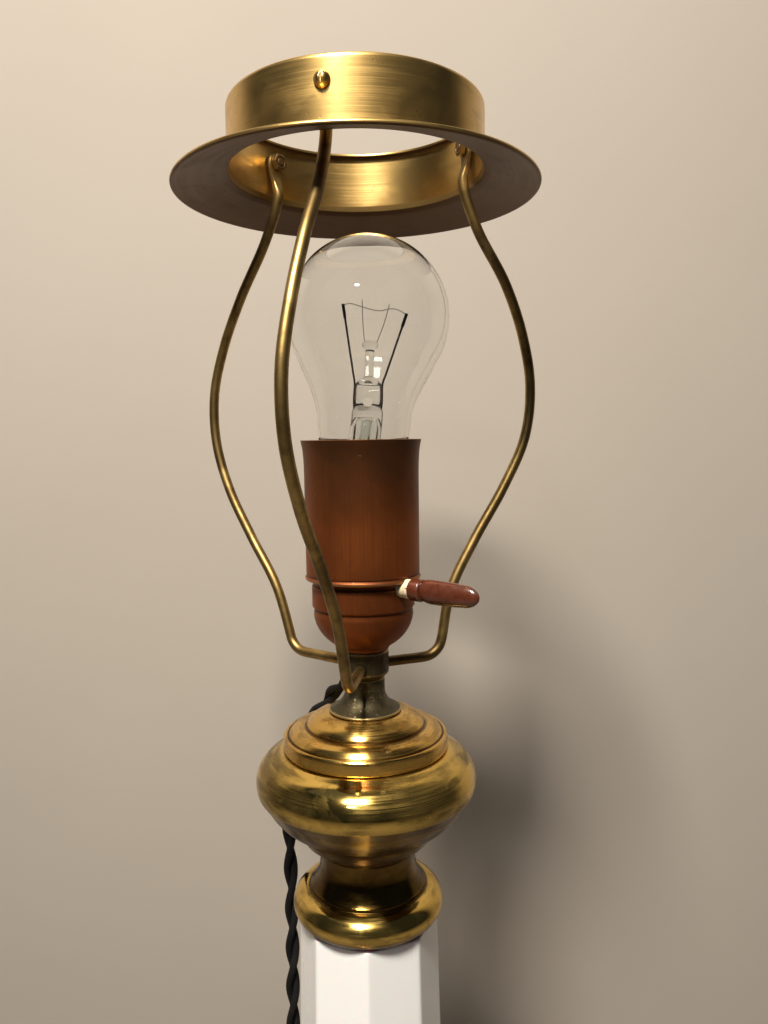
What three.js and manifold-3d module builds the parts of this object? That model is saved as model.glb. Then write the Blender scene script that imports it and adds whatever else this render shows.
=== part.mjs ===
// Brass column table lamp without its shade: foot, faceted column, vase, key lampholder,
// clear bulb and a three-armed shade gallery, with its twisted flex coiled behind the foot.
// Millimetres, +Z up. The origin is the centre of the felt under the foot, and -Y is the front.
import * as THREE from 'three';
import { mergeVertices } from 'three/addons/utils/BufferGeometryUtils.js';
import Module from 'manifold-3d';

const wasm = await Module();
wasm.setup();

// ---- Driving dimensions -------------------------------------------------------------------
const gap = 0.3; // clearance left between pieces that touch
const lipHeight = 427; // top rim of the lampholder above the table
const footRadius = 82;
const feltThickness = 2;
const columnBottom = 52.4;
const columnTop = 242.4;
const columnTopRadius = 27.1; // measured to the arrises of the octagon
const columnBottomRadius = 31.3;
const rodRadius = 5; // M10 threaded tube through the whole stem
const boreRadius = rodRadius + 0.4;
const hubHeight = -84; // the heights that follow are measured from the lampholder rim
const armSocketHeight = -85.6;
const cordExitHeight = -94.6;
const keyHeight = -54;
const screwHeight = 109.5;
const collarRadius = 46.2;
const collarWall = 1;
const bulbRadius = 30;
const bulbCentre = 44.5;
const armRadius = 2;
const cordDiameter = 6;
const keyAngle = 50; // degrees round the axis from the front, anticlockwise seen from above
const cordExitAngle = -150;

// ---- Materials ----------------------------------------------------------------------------
const finish = (color, roughness, metalness) => new THREE.MeshStandardMaterial({ color, roughness, metalness });
const satinBrass = finish(0x9c7a3c, 0.38, 1);
const darkBrass = finish(0x5d4c2b, 0.5, 1);
const polishedBrass = finish(0xa98438, 0.25, 1);
const copper = finish(0x6a3a20, 0.45, 1);
const steel = finish(0x8c8c8a, 0.4, 1);
const iron = finish(0x3a3836, 0.7, 1);
const nickel = finish(0xa8a49a, 0.3, 1);
const bakelite = finish(0x5a2012, 0.25, 0);
const porcelain = finish(0xe8e2d2, 0.3, 0);
const opal = finish(0xe6e6ea, 0.15, 0);
const clearGlass = finish(0xdfe8ea, 0.05, 0);
const blackGlass = finish(0x16161a, 0.2, 0);
const fibre = finish(0x8a6a48, 0.8, 0);
const blackBraid = finish(0x0e0e10, 0.9, 0);
const blackPlastic = finish(0x151515, 0.4, 0);
const felt = finish(0x23402c, 0.95, 0);

// ---- Shape helpers ------------------------------------------------------------------------
const lamp = new THREE.Group();
const upper = new THREE.Group(); // everything that is measured from the lampholder rim
upper.position.z = lipHeight;
lamp.add(upper);

function add(parent, name, geometry, material) {
  const mesh = new THREE.Mesh(geometry, material);
  mesh.name = name;
  parent.add(mesh);
  return mesh;
}

const radians = (degrees) => THREE.MathUtils.degToRad(degrees);

// A group turned so that its local -Y points at the given angle round the lamp.
function spoke(angle, parent = upper) {
  const group = new THREE.Group();
  group.rotation.z = radians(angle);
  parent.add(group);
  return group;
}

// Merges the seam and drops the empty triangles at the poles, so the surface is one closed skin.
function weld(geometry) {
  const bare = geometry.clone();
  bare.deleteAttribute('normal');
  bare.deleteAttribute('uv');
  const merged = mergeVertices(bare, 1e-4);
  const kept = [];
  for (let i = 0; i < merged.index.count; i += 3) {
    const [a, b, c] = [0, 1, 2].map((corner) => merged.index.getX(i + corner));
    if (a !== b && b !== c && c !== a) kept.push(a, b, c);
  }
  merged.setIndex(kept);
  return merged;
}

// Turns a profile of [radius, height] points about Z. A profile off the axis is closed on itself.
function turned(profile, segments = 28) {
  const points = profile.map(([radius, height]) => new THREE.Vector2(radius, height));
  if (THREE.ShapeUtils.area(points) < 0) points.reverse();
  if (points[0].x > 0 || points.at(-1).x > 0) points.push(points[0].clone());
  return weld(new THREE.LatheGeometry(points, segments).rotateX(Math.PI / 2));
}

// Points on an arc of a circle or an ellipse in the profile plane, angles in degrees.
function arc(centreRadius, centreHeight, across, up, from, to, count) {
  return Array.from({ length: count + 1 }, (_, i) => {
    const angle = radians(from + ((to - from) * i) / count);
    const radius = centreRadius + across * Math.cos(angle);
    return [Math.abs(radius) < 1e-6 ? 0 : radius, centreHeight + up * Math.sin(angle)];
  });
}

// Gives an open outline a wall of even thickness on the side of the axis and closes it.
function sheet(outline, wall) {
  const inner = outline.map((point, i) => {
    const before = outline[Math.max(i - 1, 0)];
    const after = outline[Math.min(i + 1, outline.length - 1)];
    const along = new THREE.Vector2(after[0] - before[0], after[1] - before[1]).normalize();
    return [point[0] + along.y * wall, point[1] - along.x * wall];
  });
  return [...outline, ...inner.reverse()];
}

const disc = (inner, outer, low, high) => [[inner, low], [outer, low], [outer, high], [inner, high]];

// A plug of round bar standing on Z.
const bar = (radius, low, high, segments = 12) => turned([[0, low], [radius, low], [radius, high], [0, high]], segments);

// Lays something that was made standing on Z along the local -Y of a spoke.
const outward = (geometry) => geometry.rotateX(Math.PI / 2);

function tube(points, radius, sides, steps) {
  const section = Array.from({ length: sides }, (_, i) => {
    const angle = (i * 2 * Math.PI) / sides;
    return new THREE.Vector2(radius * Math.cos(angle), radius * Math.sin(angle));
  });
  const extrudePath = new THREE.CatmullRomCurve3(points.map((p) => new THREE.Vector3(...p)), false, 'centripetal');
  return weld(new THREE.ExtrudeGeometry(new THREE.Shape(section), { steps, extrudePath, bevelEnabled: false }));
}

function slab(shape, thickness, curveSegments = 6) {
  return weld(new THREE.ExtrudeGeometry(shape, { depth: thickness, bevelEnabled: false, curveSegments }));
}

function hexagon(acrossFlats, hole) {
  const corners = Array.from({ length: 6 }, (_, i) => {
    const angle = (i * Math.PI) / 3;
    return new THREE.Vector2(Math.cos(angle), Math.sin(angle)).multiplyScalar(acrossFlats / Math.sqrt(3));
  });
  const shape = new THREE.Shape(corners);
  shape.holes.push(new THREE.Path().absarc(0, 0, hole, 0, 2 * Math.PI, true));
  return shape;
}

function toSolid(geometry) {
  const skin = weld(geometry);
  const vertProperties = new Float32Array(skin.attributes.position.array);
  const triVerts = new Uint32Array(skin.index.array);
  return new wasm.Manifold(new wasm.Mesh({ numProp: 3, vertProperties, triVerts }));
}

function fromSolid(solid) {
  const { vertProperties, triVerts } = solid.getMesh();
  const geometry = new THREE.BufferGeometry();
  geometry.setAttribute('position', new THREE.BufferAttribute(vertProperties, 3));
  geometry.setIndex(new THREE.BufferAttribute(triVerts, 1));
  return geometry;
}

const cut = (body, ...tools) => fromSolid(tools.reduce((rest, tool) => rest.subtract(toSolid(tool)), toSolid(body)));
const join = (...pieces) => fromSolid(pieces.map(toSolid).reduce((whole, piece) => whole.add(piece)));

// A drill pointing outwards at an angle round the axis.
const drill = (radius, near, far, height, angle, segments = 12) =>
  outward(bar(radius, near, far, segments)).rotateZ(radians(angle)).translate(0, 0, height);

// ---- Foot -----------------------------------------------------------------------------------
const footTop = 36;
const footWall = 2.2;
const footOutline = [
  [footRadius - 1, feltThickness + gap],
  [footRadius, 4],
  ...arc(footRadius - 5, 9, 5, 4.5, 0, 90, 2),
  [73, 14.4],
  [72.4, 17.6],
  ...arc(72.4, 46, 29, 27.6, -95, -156, 4),
  [40.5, footTop],
];
const footInside = [
  [boreRadius, footTop],
  [boreRadius, footTop - footWall],
  [43, footTop - footWall - 0.4],
  ...arc(72.4, 46, 31.2, 30, -150, -100, 3),
  [71.5, 14],
  [footRadius - footWall, 9],
  [footRadius - footWall, feltThickness + gap],
];
add(lamp, 'foot', turned([...footOutline, ...footInside], 28), polishedBrass);
add(lamp, 'felt_pad', bar(footRadius - 2, 0, feltThickness, 28), felt);

const weightBottom = 9;
add(lamp, 'base_weight', turned([
  [boreRadius, weightBottom], [64, weightBottom], [64, 14], [43, 29.5], [boreRadius, 29.5],
], 24), iron);
add(lamp, 'base_washer', turned(disc(boreRadius, 12, 7.3, weightBottom - gap), 16), steel);
add(lamp, 'base_nut', slab(hexagon(17, boreRadius), 3.4).translate(0, 0, 3.6), steel);

const cupTop = columnBottom - gap;
add(lamp, 'base_cup', turned([
  [boreRadius, cupTop],
  ...arc(33.6, cupTop - 4.6, 4, 4.6, 90, -60, 4),
  [34.2, 41.4],
  [35.4, 40.2],
  [39.6, 38],
  [40, footTop + gap],
  [boreRadius, footTop + gap],
], 24), polishedBrass);

// ---- Column and the tube that holds it ------------------------------------------------------
const columnBore = 8;
add(lamp, 'column', turned([
  [columnBore, columnBottom], [columnBottomRadius, columnBottom],
  [columnTopRadius, columnTop], [columnBore, columnTop],
], 8), opal);

const rodBore = 3;
const rodTop = lipHeight - 99;
add(lamp, 'tie_rod', turned(disc(rodBore, rodRadius, 2.8, rodTop), 16), steel);

// ---- Column cap, vase and cover ---------------------------------------------------------------
const capBottom = columnTop + gap - lipHeight;
const capTop = -157.3;
add(upper, 'column_cap', turned([
  [boreRadius, capTop],
  [18.9, capTop],
  [18.5, -161.5],
  [19.6, -167],
  [21.9, -171],
  [22.6, -172.2],
  ...arc(22.6, -178.6, 6.6, 6.2, 78, -55, 5),
  [25.6, capBottom],
  [24, capBottom],
  [24.8, -178],
  [16.6, -168],
  [16.6, capTop - 2],
  [boreRadius, capTop - 2],
], 24), polishedBrass);

const vaseBottom = capTop + gap;
const vaseMouth = -117.5;
const bellyCentre = -129.3;
const vaseOutline = [
  [30, vaseMouth + 2.6],
  [30, vaseMouth],
  [32.4, vaseMouth],
  ...arc(29.3, bellyCentre, 13, 11.5, 62, -20, 4),
  ...arc(20.5, -124.4, 21.3, 24.5, -32, -66, 3),
  [25.2, -149.8],
  [24.2, -152.6],
  [19.6, -156.2],
  [19.4, vaseBottom],
];
const vaseWall = 1.3;
add(upper, 'vase_body', turned([
  ...vaseOutline,
  [boreRadius, vaseBottom],
  [boreRadius, vaseBottom + 1.6],
  [18.6, vaseBottom + 1.6],
  [22.8, -151.6],
  [23.8, -148.8],
  ...arc(20.5, -124.4, 21.3 - vaseWall, 24.5 - vaseWall, -66, -36, 2),
  ...arc(29.3, bellyCentre, 13 - vaseWall, 11.5 - vaseWall, -20, 72, 3),
  [28.7, vaseMouth - 1.6],
  [28.7, vaseMouth + 2.6],
], 24), polishedBrass);

const coverTop = -103.4;
const skirtRadius = 31.5;
add(upper, 'vase_cover', turned([
  [boreRadius, coverTop],
  [14, coverTop],
  [18.8, -104.8],
  [22.2, -107.2],
  [22.6, -108.6],
  [25, -108.9],
  [28.8, -110.8],
  [29.6, -112],
  [30.4, -111.6],
  [skirtRadius, -112.8],
  [skirtRadius, vaseMouth + gap],
  [skirtRadius - 1.1, vaseMouth + gap],
  [skirtRadius - 1.1, -114],
  [22, -111],
  [17, -107.4],
  [boreRadius, -106],
], 24), satinBrass);

// ---- Neck that lets the flex out, its bush, and the hub that carries the arms ----------------
const neckProfile = [
  [boreRadius, -90.1],
  [7.6, -90.1],
  [7.6, -94.5],
  [8.3, -97],
  [9.7, -99.1],
  [13.8, -102.6],
  [13.9, coverTop + gap],
  [boreRadius, coverTop + gap],
];
const neck = cut(turned(neckProfile, 20), drill(3.8, 3, 16, cordExitHeight, cordExitAngle));
add(upper, 'cord_outlet_neck', neck, darkBrass);

const outlet = spoke(cordExitAngle);
const bush = add(outlet, 'cord_bush', outward(turned([
  [2.4, 5.8], [3.4, 5.8], [3.4, 9.6], [3.8, 9.6], [3.8, 10.2], [3.4, 10.6], [2.4, 10.6],
], 14)), blackPlastic);
bush.position.z = cordExitHeight;

// Each arm: the angle it points to at the hub, at its widest and at the gallery, and how far
// out it stands at the heights below. They were bent by hand, so no two are quite alike.
const armHeights = [-76, -60, -40, -20, 0, 20, 40, 60, 80, 96];
const arms = [
  { name: 'front', aim: [-8, -15, -11], reach: [36, 42, 54, 67, 75.5, 77, 72, 63, 49.3, 42.3] },
  { name: 'right', aim: [112, 112, 109], reach: [33, 37, 48, 61, 71, 73.5, 69.5, 61, 48.3, 42.3] },
  { name: 'left', aim: [-128, -127, -131], reach: [39.5, 46.5, 60.5, 73, 80, 80.5, 75, 65, 50.8, 42.3] },
];
const hubRadius = 9.3;
const hubBottom = hubHeight - 5.8;
const hubProfile = [
  [boreRadius, hubHeight + 4.6], [hubRadius, hubHeight + 4.6], [hubRadius, hubHeight - 4.3],
  [7.6, hubBottom], [boreRadius, hubBottom],
];
const socketDepth = 5.9;
const sockets = arms.map(({ aim }) => drill(armRadius + 0.3, socketDepth, 12, armSocketHeight, aim[0], 8));
add(upper, 'arm_hub', cut(turned(hubProfile, 20), ...sockets), darkBrass);

const nippleTop = -70;
add(upper, 'threaded_nipple', turned(disc(3.4, rodRadius, -91, nippleTop), 16), steel);
add(upper, 'nipple_nut', slab(hexagon(14, boreRadius), 3).translate(0, 0, -77.2), steel);

// ---- Arms and their fixings to the gallery ---------------------------------------------------
const armTopReach = collarRadius - collarWall - armRadius - 0.9;
const eyeThickness = 1.9;
const eyeFront = collarRadius - collarWall - 0.7;
const armBend = 8;

function armPoint(angle, reach, height) {
  return [reach * Math.sin(radians(angle)), -reach * Math.cos(radians(angle)), height];
}

function armPath({ aim, reach }) {
  const bendReach = reach[0] - armBend;
  const bend = arc(bendReach, armSocketHeight + armBend, armBend, armBend, -90, -10, 4);
  const run = [[socketDepth + gap, armSocketHeight], [bendReach - 8, armSocketHeight], ...bend];
  const lower = run.map(([out, height]) => armPoint(aim[0], out, height));
  const bow = armHeights.slice(1).map((height, i) => {
    const towardsGallery = THREE.MathUtils.smoothstep(height, 10, 96);
    const fromHub = THREE.MathUtils.smoothstep(height, -100, 0);
    const angle = THREE.MathUtils.lerp(THREE.MathUtils.lerp(aim[0], aim[1], fromHub), aim[2], towardsGallery);
    return armPoint(angle, reach[i + 1], height);
  });
  return [...lower, ...bow, armPoint(aim[2], armTopReach, 104)];
}

// The hammered flat at the top of an arm, with the screw's hole.
function armEye(angle) {
  const outline = new THREE.Shape();
  outline.moveTo(-2.1, -9.5);
  outline.lineTo(2.1, -9.5);
  outline.lineTo(3.6, 0);
  outline.absarc(0, 0, 3.6, 0, Math.PI, false);
  outline.holes.push(new THREE.Path().absarc(0, 0, 1.8, 0, 2 * Math.PI, true));
  const plate = slab(outline, eyeThickness).rotateX(Math.PI / 2);
  return plate.translate(0, eyeThickness - eyeFront, screwHeight).rotateZ(radians(angle));
}

// Domed screw from outside, hexagon nut inside.
function galleryScrew() {
  const head = arc(0, collarRadius + gap + 1.9, 2.6, 2.6, 90, -47, 4);
  return outward(turned([...head, [1.5, collarRadius + gap], [1.5, 40], [0, 40]], 10));
}

arms.forEach((arm, i) => {
  const rod = tube(armPath(arm), armRadius, 8, 30);
  add(upper, `arm_${arm.name}`, join(rod, armEye(arm.aim[2])), satinBrass);
  const fixing = spoke(arm.aim[2]);
  fixing.position.z = screwHeight;
  add(fixing, `gallery_screw_${i + 1}`, galleryScrew(), satinBrass);
  const nut = slab(hexagon(5.5, 1.8), 2.2, 4);
  const nutFace = eyeFront - eyeThickness - gap;
  add(fixing, `gallery_nut_${i + 1}`, outward(nut.translate(0, 0, nutFace - 2.2)), satinBrass);
});

// ---- Gallery: the collar and brim that carry a shade ------------------------------------------
const brimRadius = 66;
const collarTop = 117.9;
const gallery = turned([
  [43.2, 116.8],
  [43.4, collarTop],
  [44.9, collarTop],
  [collarRadius, 116.4],
  [collarRadius, 97.4],
  [46.9, 96.1],
  [48.2, 95.3],
  [64.4, 90.8],
  [brimRadius, 90],
  [brimRadius, 88.9],
  [65, 88.8],
  [48, 94],
  [46, 95.2],
  [collarRadius - collarWall, 97.2],
  [collarRadius - collarWall, 115.8],
  [44.6, 116.8],
], 32);
const screwHoles = arms.map(({ aim }) => drill(1.8, 43, 49, screwHeight, aim[2], 10));
add(upper, 'gallery_ring', cut(gallery, ...screwHoles), satinBrass);

// ---- Lampholder ---------------------------------------------------------------------------------
const shellOutline = [
  [22.5, 0], [22.1, -2.5], [21.5, -8], [21.4, -50], [21.8, -50.7], [21.8, -51.6], [21.2, -52],
];
const keyHole = drill(3.9, 15, 26, keyHeight, keyAngle, 16);
add(upper, 'lampholder_shell', cut(turned(sheet(shellOutline, -0.8), 24), keyHole), copper);

const capWall = 0.9;
const domeOutline = [
  [18.8, -48], [18.8, -54], [19.4, -54.4], [19.4, -62.4], [18.6, -63.2],
  ...arc(0, -64.4, 18.9, 15.6, 0, -58, 4),
  [9.4, -79.1],
];
add(upper, 'lampholder_cap', cut(turned([
  ...domeOutline,
  [boreRadius, -79.1],
  [boreRadius, -77.5],
  [8, -77.5],
  ...arc(0, -64.4, 18.9 - capWall, 15.6 - capWall, -62, 0, 3),
  [18, -62],
  [18, -48],
], 24), keyHole), copper);

add(upper, 'insulating_sleeve', turned(disc(19.4, 20.2, -47.5, -2), 20), fibre);

// Edison thread drawn as plain rings with running clearance: [height, ring count, radii].
function rings(top, bottom, count, crest, root) {
  const pitch = (top - bottom) / count;
  return Array.from({ length: count }, (_, i) => [
    [root, top - i * pitch], [crest, top - (i + 0.5) * pitch],
  ]).flat().concat([[root, bottom]]);
}
const screwShellBottom = -27.3;
add(upper, 'screw_shell', turned([
  ...rings(-6.6, screwShellBottom, 4, 14.9, 14.3),
  ...rings(-6.6, screwShellBottom, 4, 14.4, 13.8).reverse(),
], 16), nickel);

const insertTop = screwShellBottom - gap;
const insertBottom = -61.3;
const contactWell = [9, -33];
const terminals = [keyAngle + 90, keyAngle - 90];
const terminalReach = 11;
const switchCavity = drill(5.6, 3.6, 20, keyHeight, keyAngle, 16);
const terminalHoles = terminals.map((angle) =>
  bar(1.6, insertBottom - 1, -55, 10).translate(...armPoint(angle, terminalReach, 0)));
add(upper, 'porcelain_insert', cut(turned([
  [0, contactWell[1]], [contactWell[0], contactWell[1]], [contactWell[0], insertTop],
  [17.6, insertTop], [17.6, insertBottom], [0, insertBottom],
], 20), switchCavity, ...terminalHoles), porcelain);

terminals.forEach((angle, i) => {
  const screw = turned([
    [0, -55.6], [1.3, -55.6], [1.3, insertBottom - gap], [2.7, insertBottom - gap],
    [2.7, insertBottom - 2], [0, insertBottom - 2],
  ], 10);
  const terminal = add(upper, `terminal_screw_${i + 1}`, screw, satinBrass);
  terminal.position.set(...armPoint(angle, terminalReach, 0));
  const side = armPoint(angle, 1, 0);
  const route = [
    [1.55, -97], [1.55, -84], [1.6, -71], [3.5, -67], [6.8, insertBottom - 2.2],
  ];
  const core = route.map(([out, height]) => [side[0] * out, side[1] * out, height]);
  add(upper, `core_wire_${i + 1}`, tube(core, 1.1, 6, 10), i === 0 ? fibre : blackPlastic);
});

const leaf = new THREE.Shape();
leaf.moveTo(-7, -0.4);
leaf.lineTo(7, -0.4);
leaf.lineTo(7, 0);
leaf.lineTo(5, 0);
leaf.quadraticCurveTo(0, 2, -5, 0);
leaf.lineTo(-7, 0);
const contactLeaf = slab(leaf, 5).translate(0, 0, -2.5).rotateX(Math.PI / 2);
add(upper, 'contact_spring', contactLeaf.translate(0, 0, contactWell[1] + gap + 0.4), satinBrass);

// ---- Switch key, which turns with its rotor ----------------------------------------------------
const keySpoke = spoke(keyAngle);
keySpoke.position.z = keyHeight;
const paddleThinness = 0.62;
const collar = outward(turned([[0, 23.6], [3.7, 23.6], [4.1, 24.1], [4.1, 28.2], [3.6, 28.8], [0, 28.8]], 16));
const stem = outward(bar(1.6, 4.4, 25, 10));
const paddle = outward(turned([
  [0, 27.5], [3.4, 27.5], [4.4, 31], [4.4, 37], [4, 45], ...arc(0, 47, 3.7, 5.2, 10, 90, 4),
], 16)).scale(paddleThinness, 1, 1);
add(keySpoke, 'switch_key', join(collar, stem, paddle), bakelite);
add(keySpoke, 'switch_rotor', outward(turned(disc(1.9, 5, 5, 13), 14)), fibre);
add(keySpoke, 'switch_bush', outward(turned([
  [1.95, 18], [3.5, 18], [3.5, 22.8], [3, 23.3], [1.95, 23.3],
], 16)), porcelain);

// ---- Bulb: A60 glass on an E27 cap --------------------------------------------------------------
const glassWall = 0.8;
const bulbOutline = (wall, steps) => [
  [12.1 - wall, -9],
  [12.3 - wall, -5],
  [16.4 - wall, -1.2],
  [17.2 - wall, 3],
  [18 - wall, 11],
  [20.6 - wall, 18.2],
  [23.8 - wall, 24.3],
  ...arc(0, bulbCentre, bulbRadius - wall, bulbRadius - wall, -28, 90, steps),
];
add(upper, 'bulb_glass', turned([...bulbOutline(glassWall, 5).reverse(), ...bulbOutline(0, 6)], 24), clearGlass);

add(upper, 'bulb_cap', turned([
  [12.6, -5.4], [13.1, -5.4], [13.1, -6.6],
  ...rings(-6.6, -24.5, 4, 13.3, 12.7),
  [9.4, -27], [9, -26.6],
  [12.2, -24.2], [12.6, -22],
], 16), nickel);
add(upper, 'bulb_insulator', turned([
  [1.6, -26], [8.6, -26], [8.7, -27], [5.2, -29.4], [1.6, -29.4],
], 16), blackGlass);
add(upper, 'bulb_contact', turned([
  [0, -25.7], [1.2, -25.7], [1.2, -29.7], [4.6, -29.7], [3.6, -31], [0, -31],
], 14), nickel);

const stemProfile = [
  [10.6, -7], [8, -3.4], [6, 0], [5.8, 10.6], [4.3, 13], [4.3, 21.4], [1.7, 23], [1.7, 33],
  [3, 34], [3, 36], [0, 36.4],
];
add(upper, 'bulb_stem', turned([
  [0, 9], [4, 8], [5, 0], [9.6, -7], ...stemProfile,
], 12), clearGlass);

const leadRadius = 0.45;
[-1, 1].forEach((side, i) => {
  const tipReach = i === 0 ? 9.7 : 13.4;
  const tipHeight = i === 0 ? 49.5 : 47;
  const route = [[side * 5.2, 0, 13], [side * 5.3, 0, 21], [side * (4.4 + tipReach) / 2, 0, 35], [side * tipReach, 0, tipHeight]];
  add(upper, `bulb_lead_${i + 1}`, tube(route, leadRadius, 6, 6), nickel);
  const holder = [[side * 3.3, 0, 35], [side * 4.6, 0, 42], [side * 6.2, 0, 47.2 - i * 0.6]];
  add(upper, `filament_support_${i + 1}`, tube(holder, 0.15, 4, 3), steel);
});
const filamentRoute = [[-9, 0, 49.6], [-6, 0, 48.2], [0, 0, 47.8], [6, 0, 47.3], [12.6, 0, 47.2]];
add(upper, 'bulb_filament', tube(filamentRoute, 0.2, 5, 10), steel);

// ---- Flex, coil and plug -------------------------------------------------------------------------
const coilCentre = [-54, 122];
const coilMeanRadius = 32.7;
const coilHalfWidth = 13.2;
const coilBottom = 0.8;
const coilTop = 13.2;
const lastTurn = 42.7; // radius of the turn that the tail leaves

// From the bush over the cover, round the belly, down behind the column, over the foot and
// along the table to the coil.
const cordRoute = [
  [5.9, 10.2, 332.3], [7.1, 12.3, 331.5], [9, 15.6, 329.4], [12.3, 21.3, 325.2], [15.5, 26.6, 320.2],
  [18.9, 31.6, 314.8], [23, 35.6, 309], [27.6, 37.2, 302.4], [31.4, 35.4, 295], [33.6, 33, 286],
  [34.4, 31, 274], [34.2, 29.6, 256], [34, 29.4, 237], [34.2, 29.6, 207], [34.8, 30.2, 172],
  [35.4, 30.8, 130], [36, 31.3, 95], [38, 33, 68], [43.2, 37.6, 47], [51, 44.4, 34.4],
  [58.6, 51, 26], [66.6, 58, 18.4], [74, 64.4, 10.6], [82, 70, 5.2], [89.4, 77, 3.4],
  [94.2, 86, 3.3], [95.2, 95, 3.6],
].map(([left, back, height]) => [-left, back, height]);
add(lamp, 'cord_run', tube(cordRoute, cordDiameter / 2, 8, 50), blackBraid);

const coil = add(lamp, 'cord_coil', turned([
  [coilMeanRadius - coilHalfWidth, coilBottom + 2], [coilMeanRadius - coilHalfWidth + 2, coilBottom],
  [coilMeanRadius + coilHalfWidth - 2, coilBottom], [coilMeanRadius + coilHalfWidth, coilBottom + 2],
  [coilMeanRadius + coilHalfWidth, coilTop - 2], [coilMeanRadius + coilHalfWidth - 2, coilTop],
  [coilMeanRadius - coilHalfWidth + 2, coilTop], [coilMeanRadius - coilHalfWidth, coilTop - 2],
], 24), blackBraid);
coil.position.set(...coilCentre, 0);

const plugNeck = [10, coilCentre[1] + lastTurn, 6.8];
const tailRoute = [
  [coilCentre[0] + 25, plugNeck[1], 9.4], [-18, plugNeck[1], 8.2], [-4, plugNeck[1], 6.9],
  [plugNeck[0] - gap, plugNeck[1], 6.8],
];
add(lamp, 'cord_tail', tube(tailRoute, cordDiameter / 2, 8, 8), blackBraid);

// A soft band round one side of the coil.
const tie = new THREE.Shape();
const tieReach = coilHalfWidth + 1.2;
tie.moveTo(-tieReach, 0.1);
tie.lineTo(tieReach, 0.1);
tie.lineTo(tieReach, coilTop + 0.9);
tie.lineTo(-tieReach, coilTop + 0.9);
tie.holes.push(new THREE.Path([
  [-tieReach + 0.5, 0.5], [-tieReach + 0.5, coilTop + 0.4], [tieReach - 0.5, coilTop + 0.4], [tieReach - 0.5, 0.5],
].map((corner) => new THREE.Vector2(...corner))));
const band = slab(tie, 7).translate(0, 0, -3.5).rotateX(Math.PI / 2);
add(lamp, 'cord_tie', band, felt).position.set(coilCentre[0] + coilMeanRadius, coilCentre[1], 0);

const plugHalfWidth = 13;
const plugLength = 38;
const plugOutline = new THREE.Shape();
plugOutline.moveTo(0, -4);
plugOutline.lineTo(9, -5);
plugOutline.quadraticCurveTo(13, -plugHalfWidth, 20, -plugHalfWidth);
plugOutline.lineTo(plugLength, -plugHalfWidth);
plugOutline.lineTo(plugLength, plugHalfWidth);
plugOutline.lineTo(20, plugHalfWidth);
plugOutline.quadraticCurveTo(13, plugHalfWidth, 9, 5);
plugOutline.lineTo(0, 4);
const plug = new THREE.Group();
plug.position.set(...plugNeck);
lamp.add(plug);
add(plug, 'plug_body', slab(plugOutline, 13.2).translate(0, 0, -6.6), blackPlastic);
[-1, 1].forEach((side, i) => {
  const pin = turned([[0, 0], [2, 0], [2, 17], [1.2, 19], [0, 19]], 12).rotateY(Math.PI / 2);
  add(plug, `plug_pin_${i + 1}`, pin, nickel).position.set(plugLength + gap, side * 9.5, 0);
});

export default lamp;
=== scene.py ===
"""A brass column table lamp without its shade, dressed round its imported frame.

The lamp is put together from the flex and the foot upwards. Places are metres in the frame's own
axes: +Z up, -Y the front, and the origin under the middle of the foot. Outlines are millimetres.
"""
import math

import bmesh
import bpy
import numpy as np
from mathutils import Matrix, Vector


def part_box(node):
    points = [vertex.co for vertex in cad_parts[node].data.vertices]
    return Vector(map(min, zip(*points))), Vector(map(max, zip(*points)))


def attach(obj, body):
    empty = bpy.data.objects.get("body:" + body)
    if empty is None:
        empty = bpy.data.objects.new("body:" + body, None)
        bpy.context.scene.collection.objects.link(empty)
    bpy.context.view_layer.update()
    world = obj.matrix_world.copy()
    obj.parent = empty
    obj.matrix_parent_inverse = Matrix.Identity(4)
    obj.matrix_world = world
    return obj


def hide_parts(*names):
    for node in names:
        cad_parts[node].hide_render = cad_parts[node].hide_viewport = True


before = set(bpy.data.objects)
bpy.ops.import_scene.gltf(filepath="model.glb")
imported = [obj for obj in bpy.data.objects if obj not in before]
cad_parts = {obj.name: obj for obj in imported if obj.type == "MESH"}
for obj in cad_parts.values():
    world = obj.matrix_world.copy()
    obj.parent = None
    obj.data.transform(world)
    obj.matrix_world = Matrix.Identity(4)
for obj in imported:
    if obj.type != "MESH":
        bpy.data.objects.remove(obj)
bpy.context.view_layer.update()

# ---- Camera --------------------------------------------------
# The view that the lamp is shown from: level with the rim of its lampholder, close in, looking a
# little down.
camera_data = bpy.data.cameras.new("camera")
camera_data.lens = 28.125
camera_data.sensor_width = 36
camera = bpy.data.objects.new("camera", camera_data)
bpy.context.scene.collection.objects.link(camera)
camera_pitch = Matrix.Rotation(math.radians(90 - 5.18), 4, "X")
camera_roll = Matrix.Rotation(math.radians(-0.8), 4, "Z")
camera.matrix_world = Matrix.Translation((0.00825, -0.3, 0.427)) @ camera_pitch @ camera_roll
bpy.context.scene.camera = camera

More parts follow.
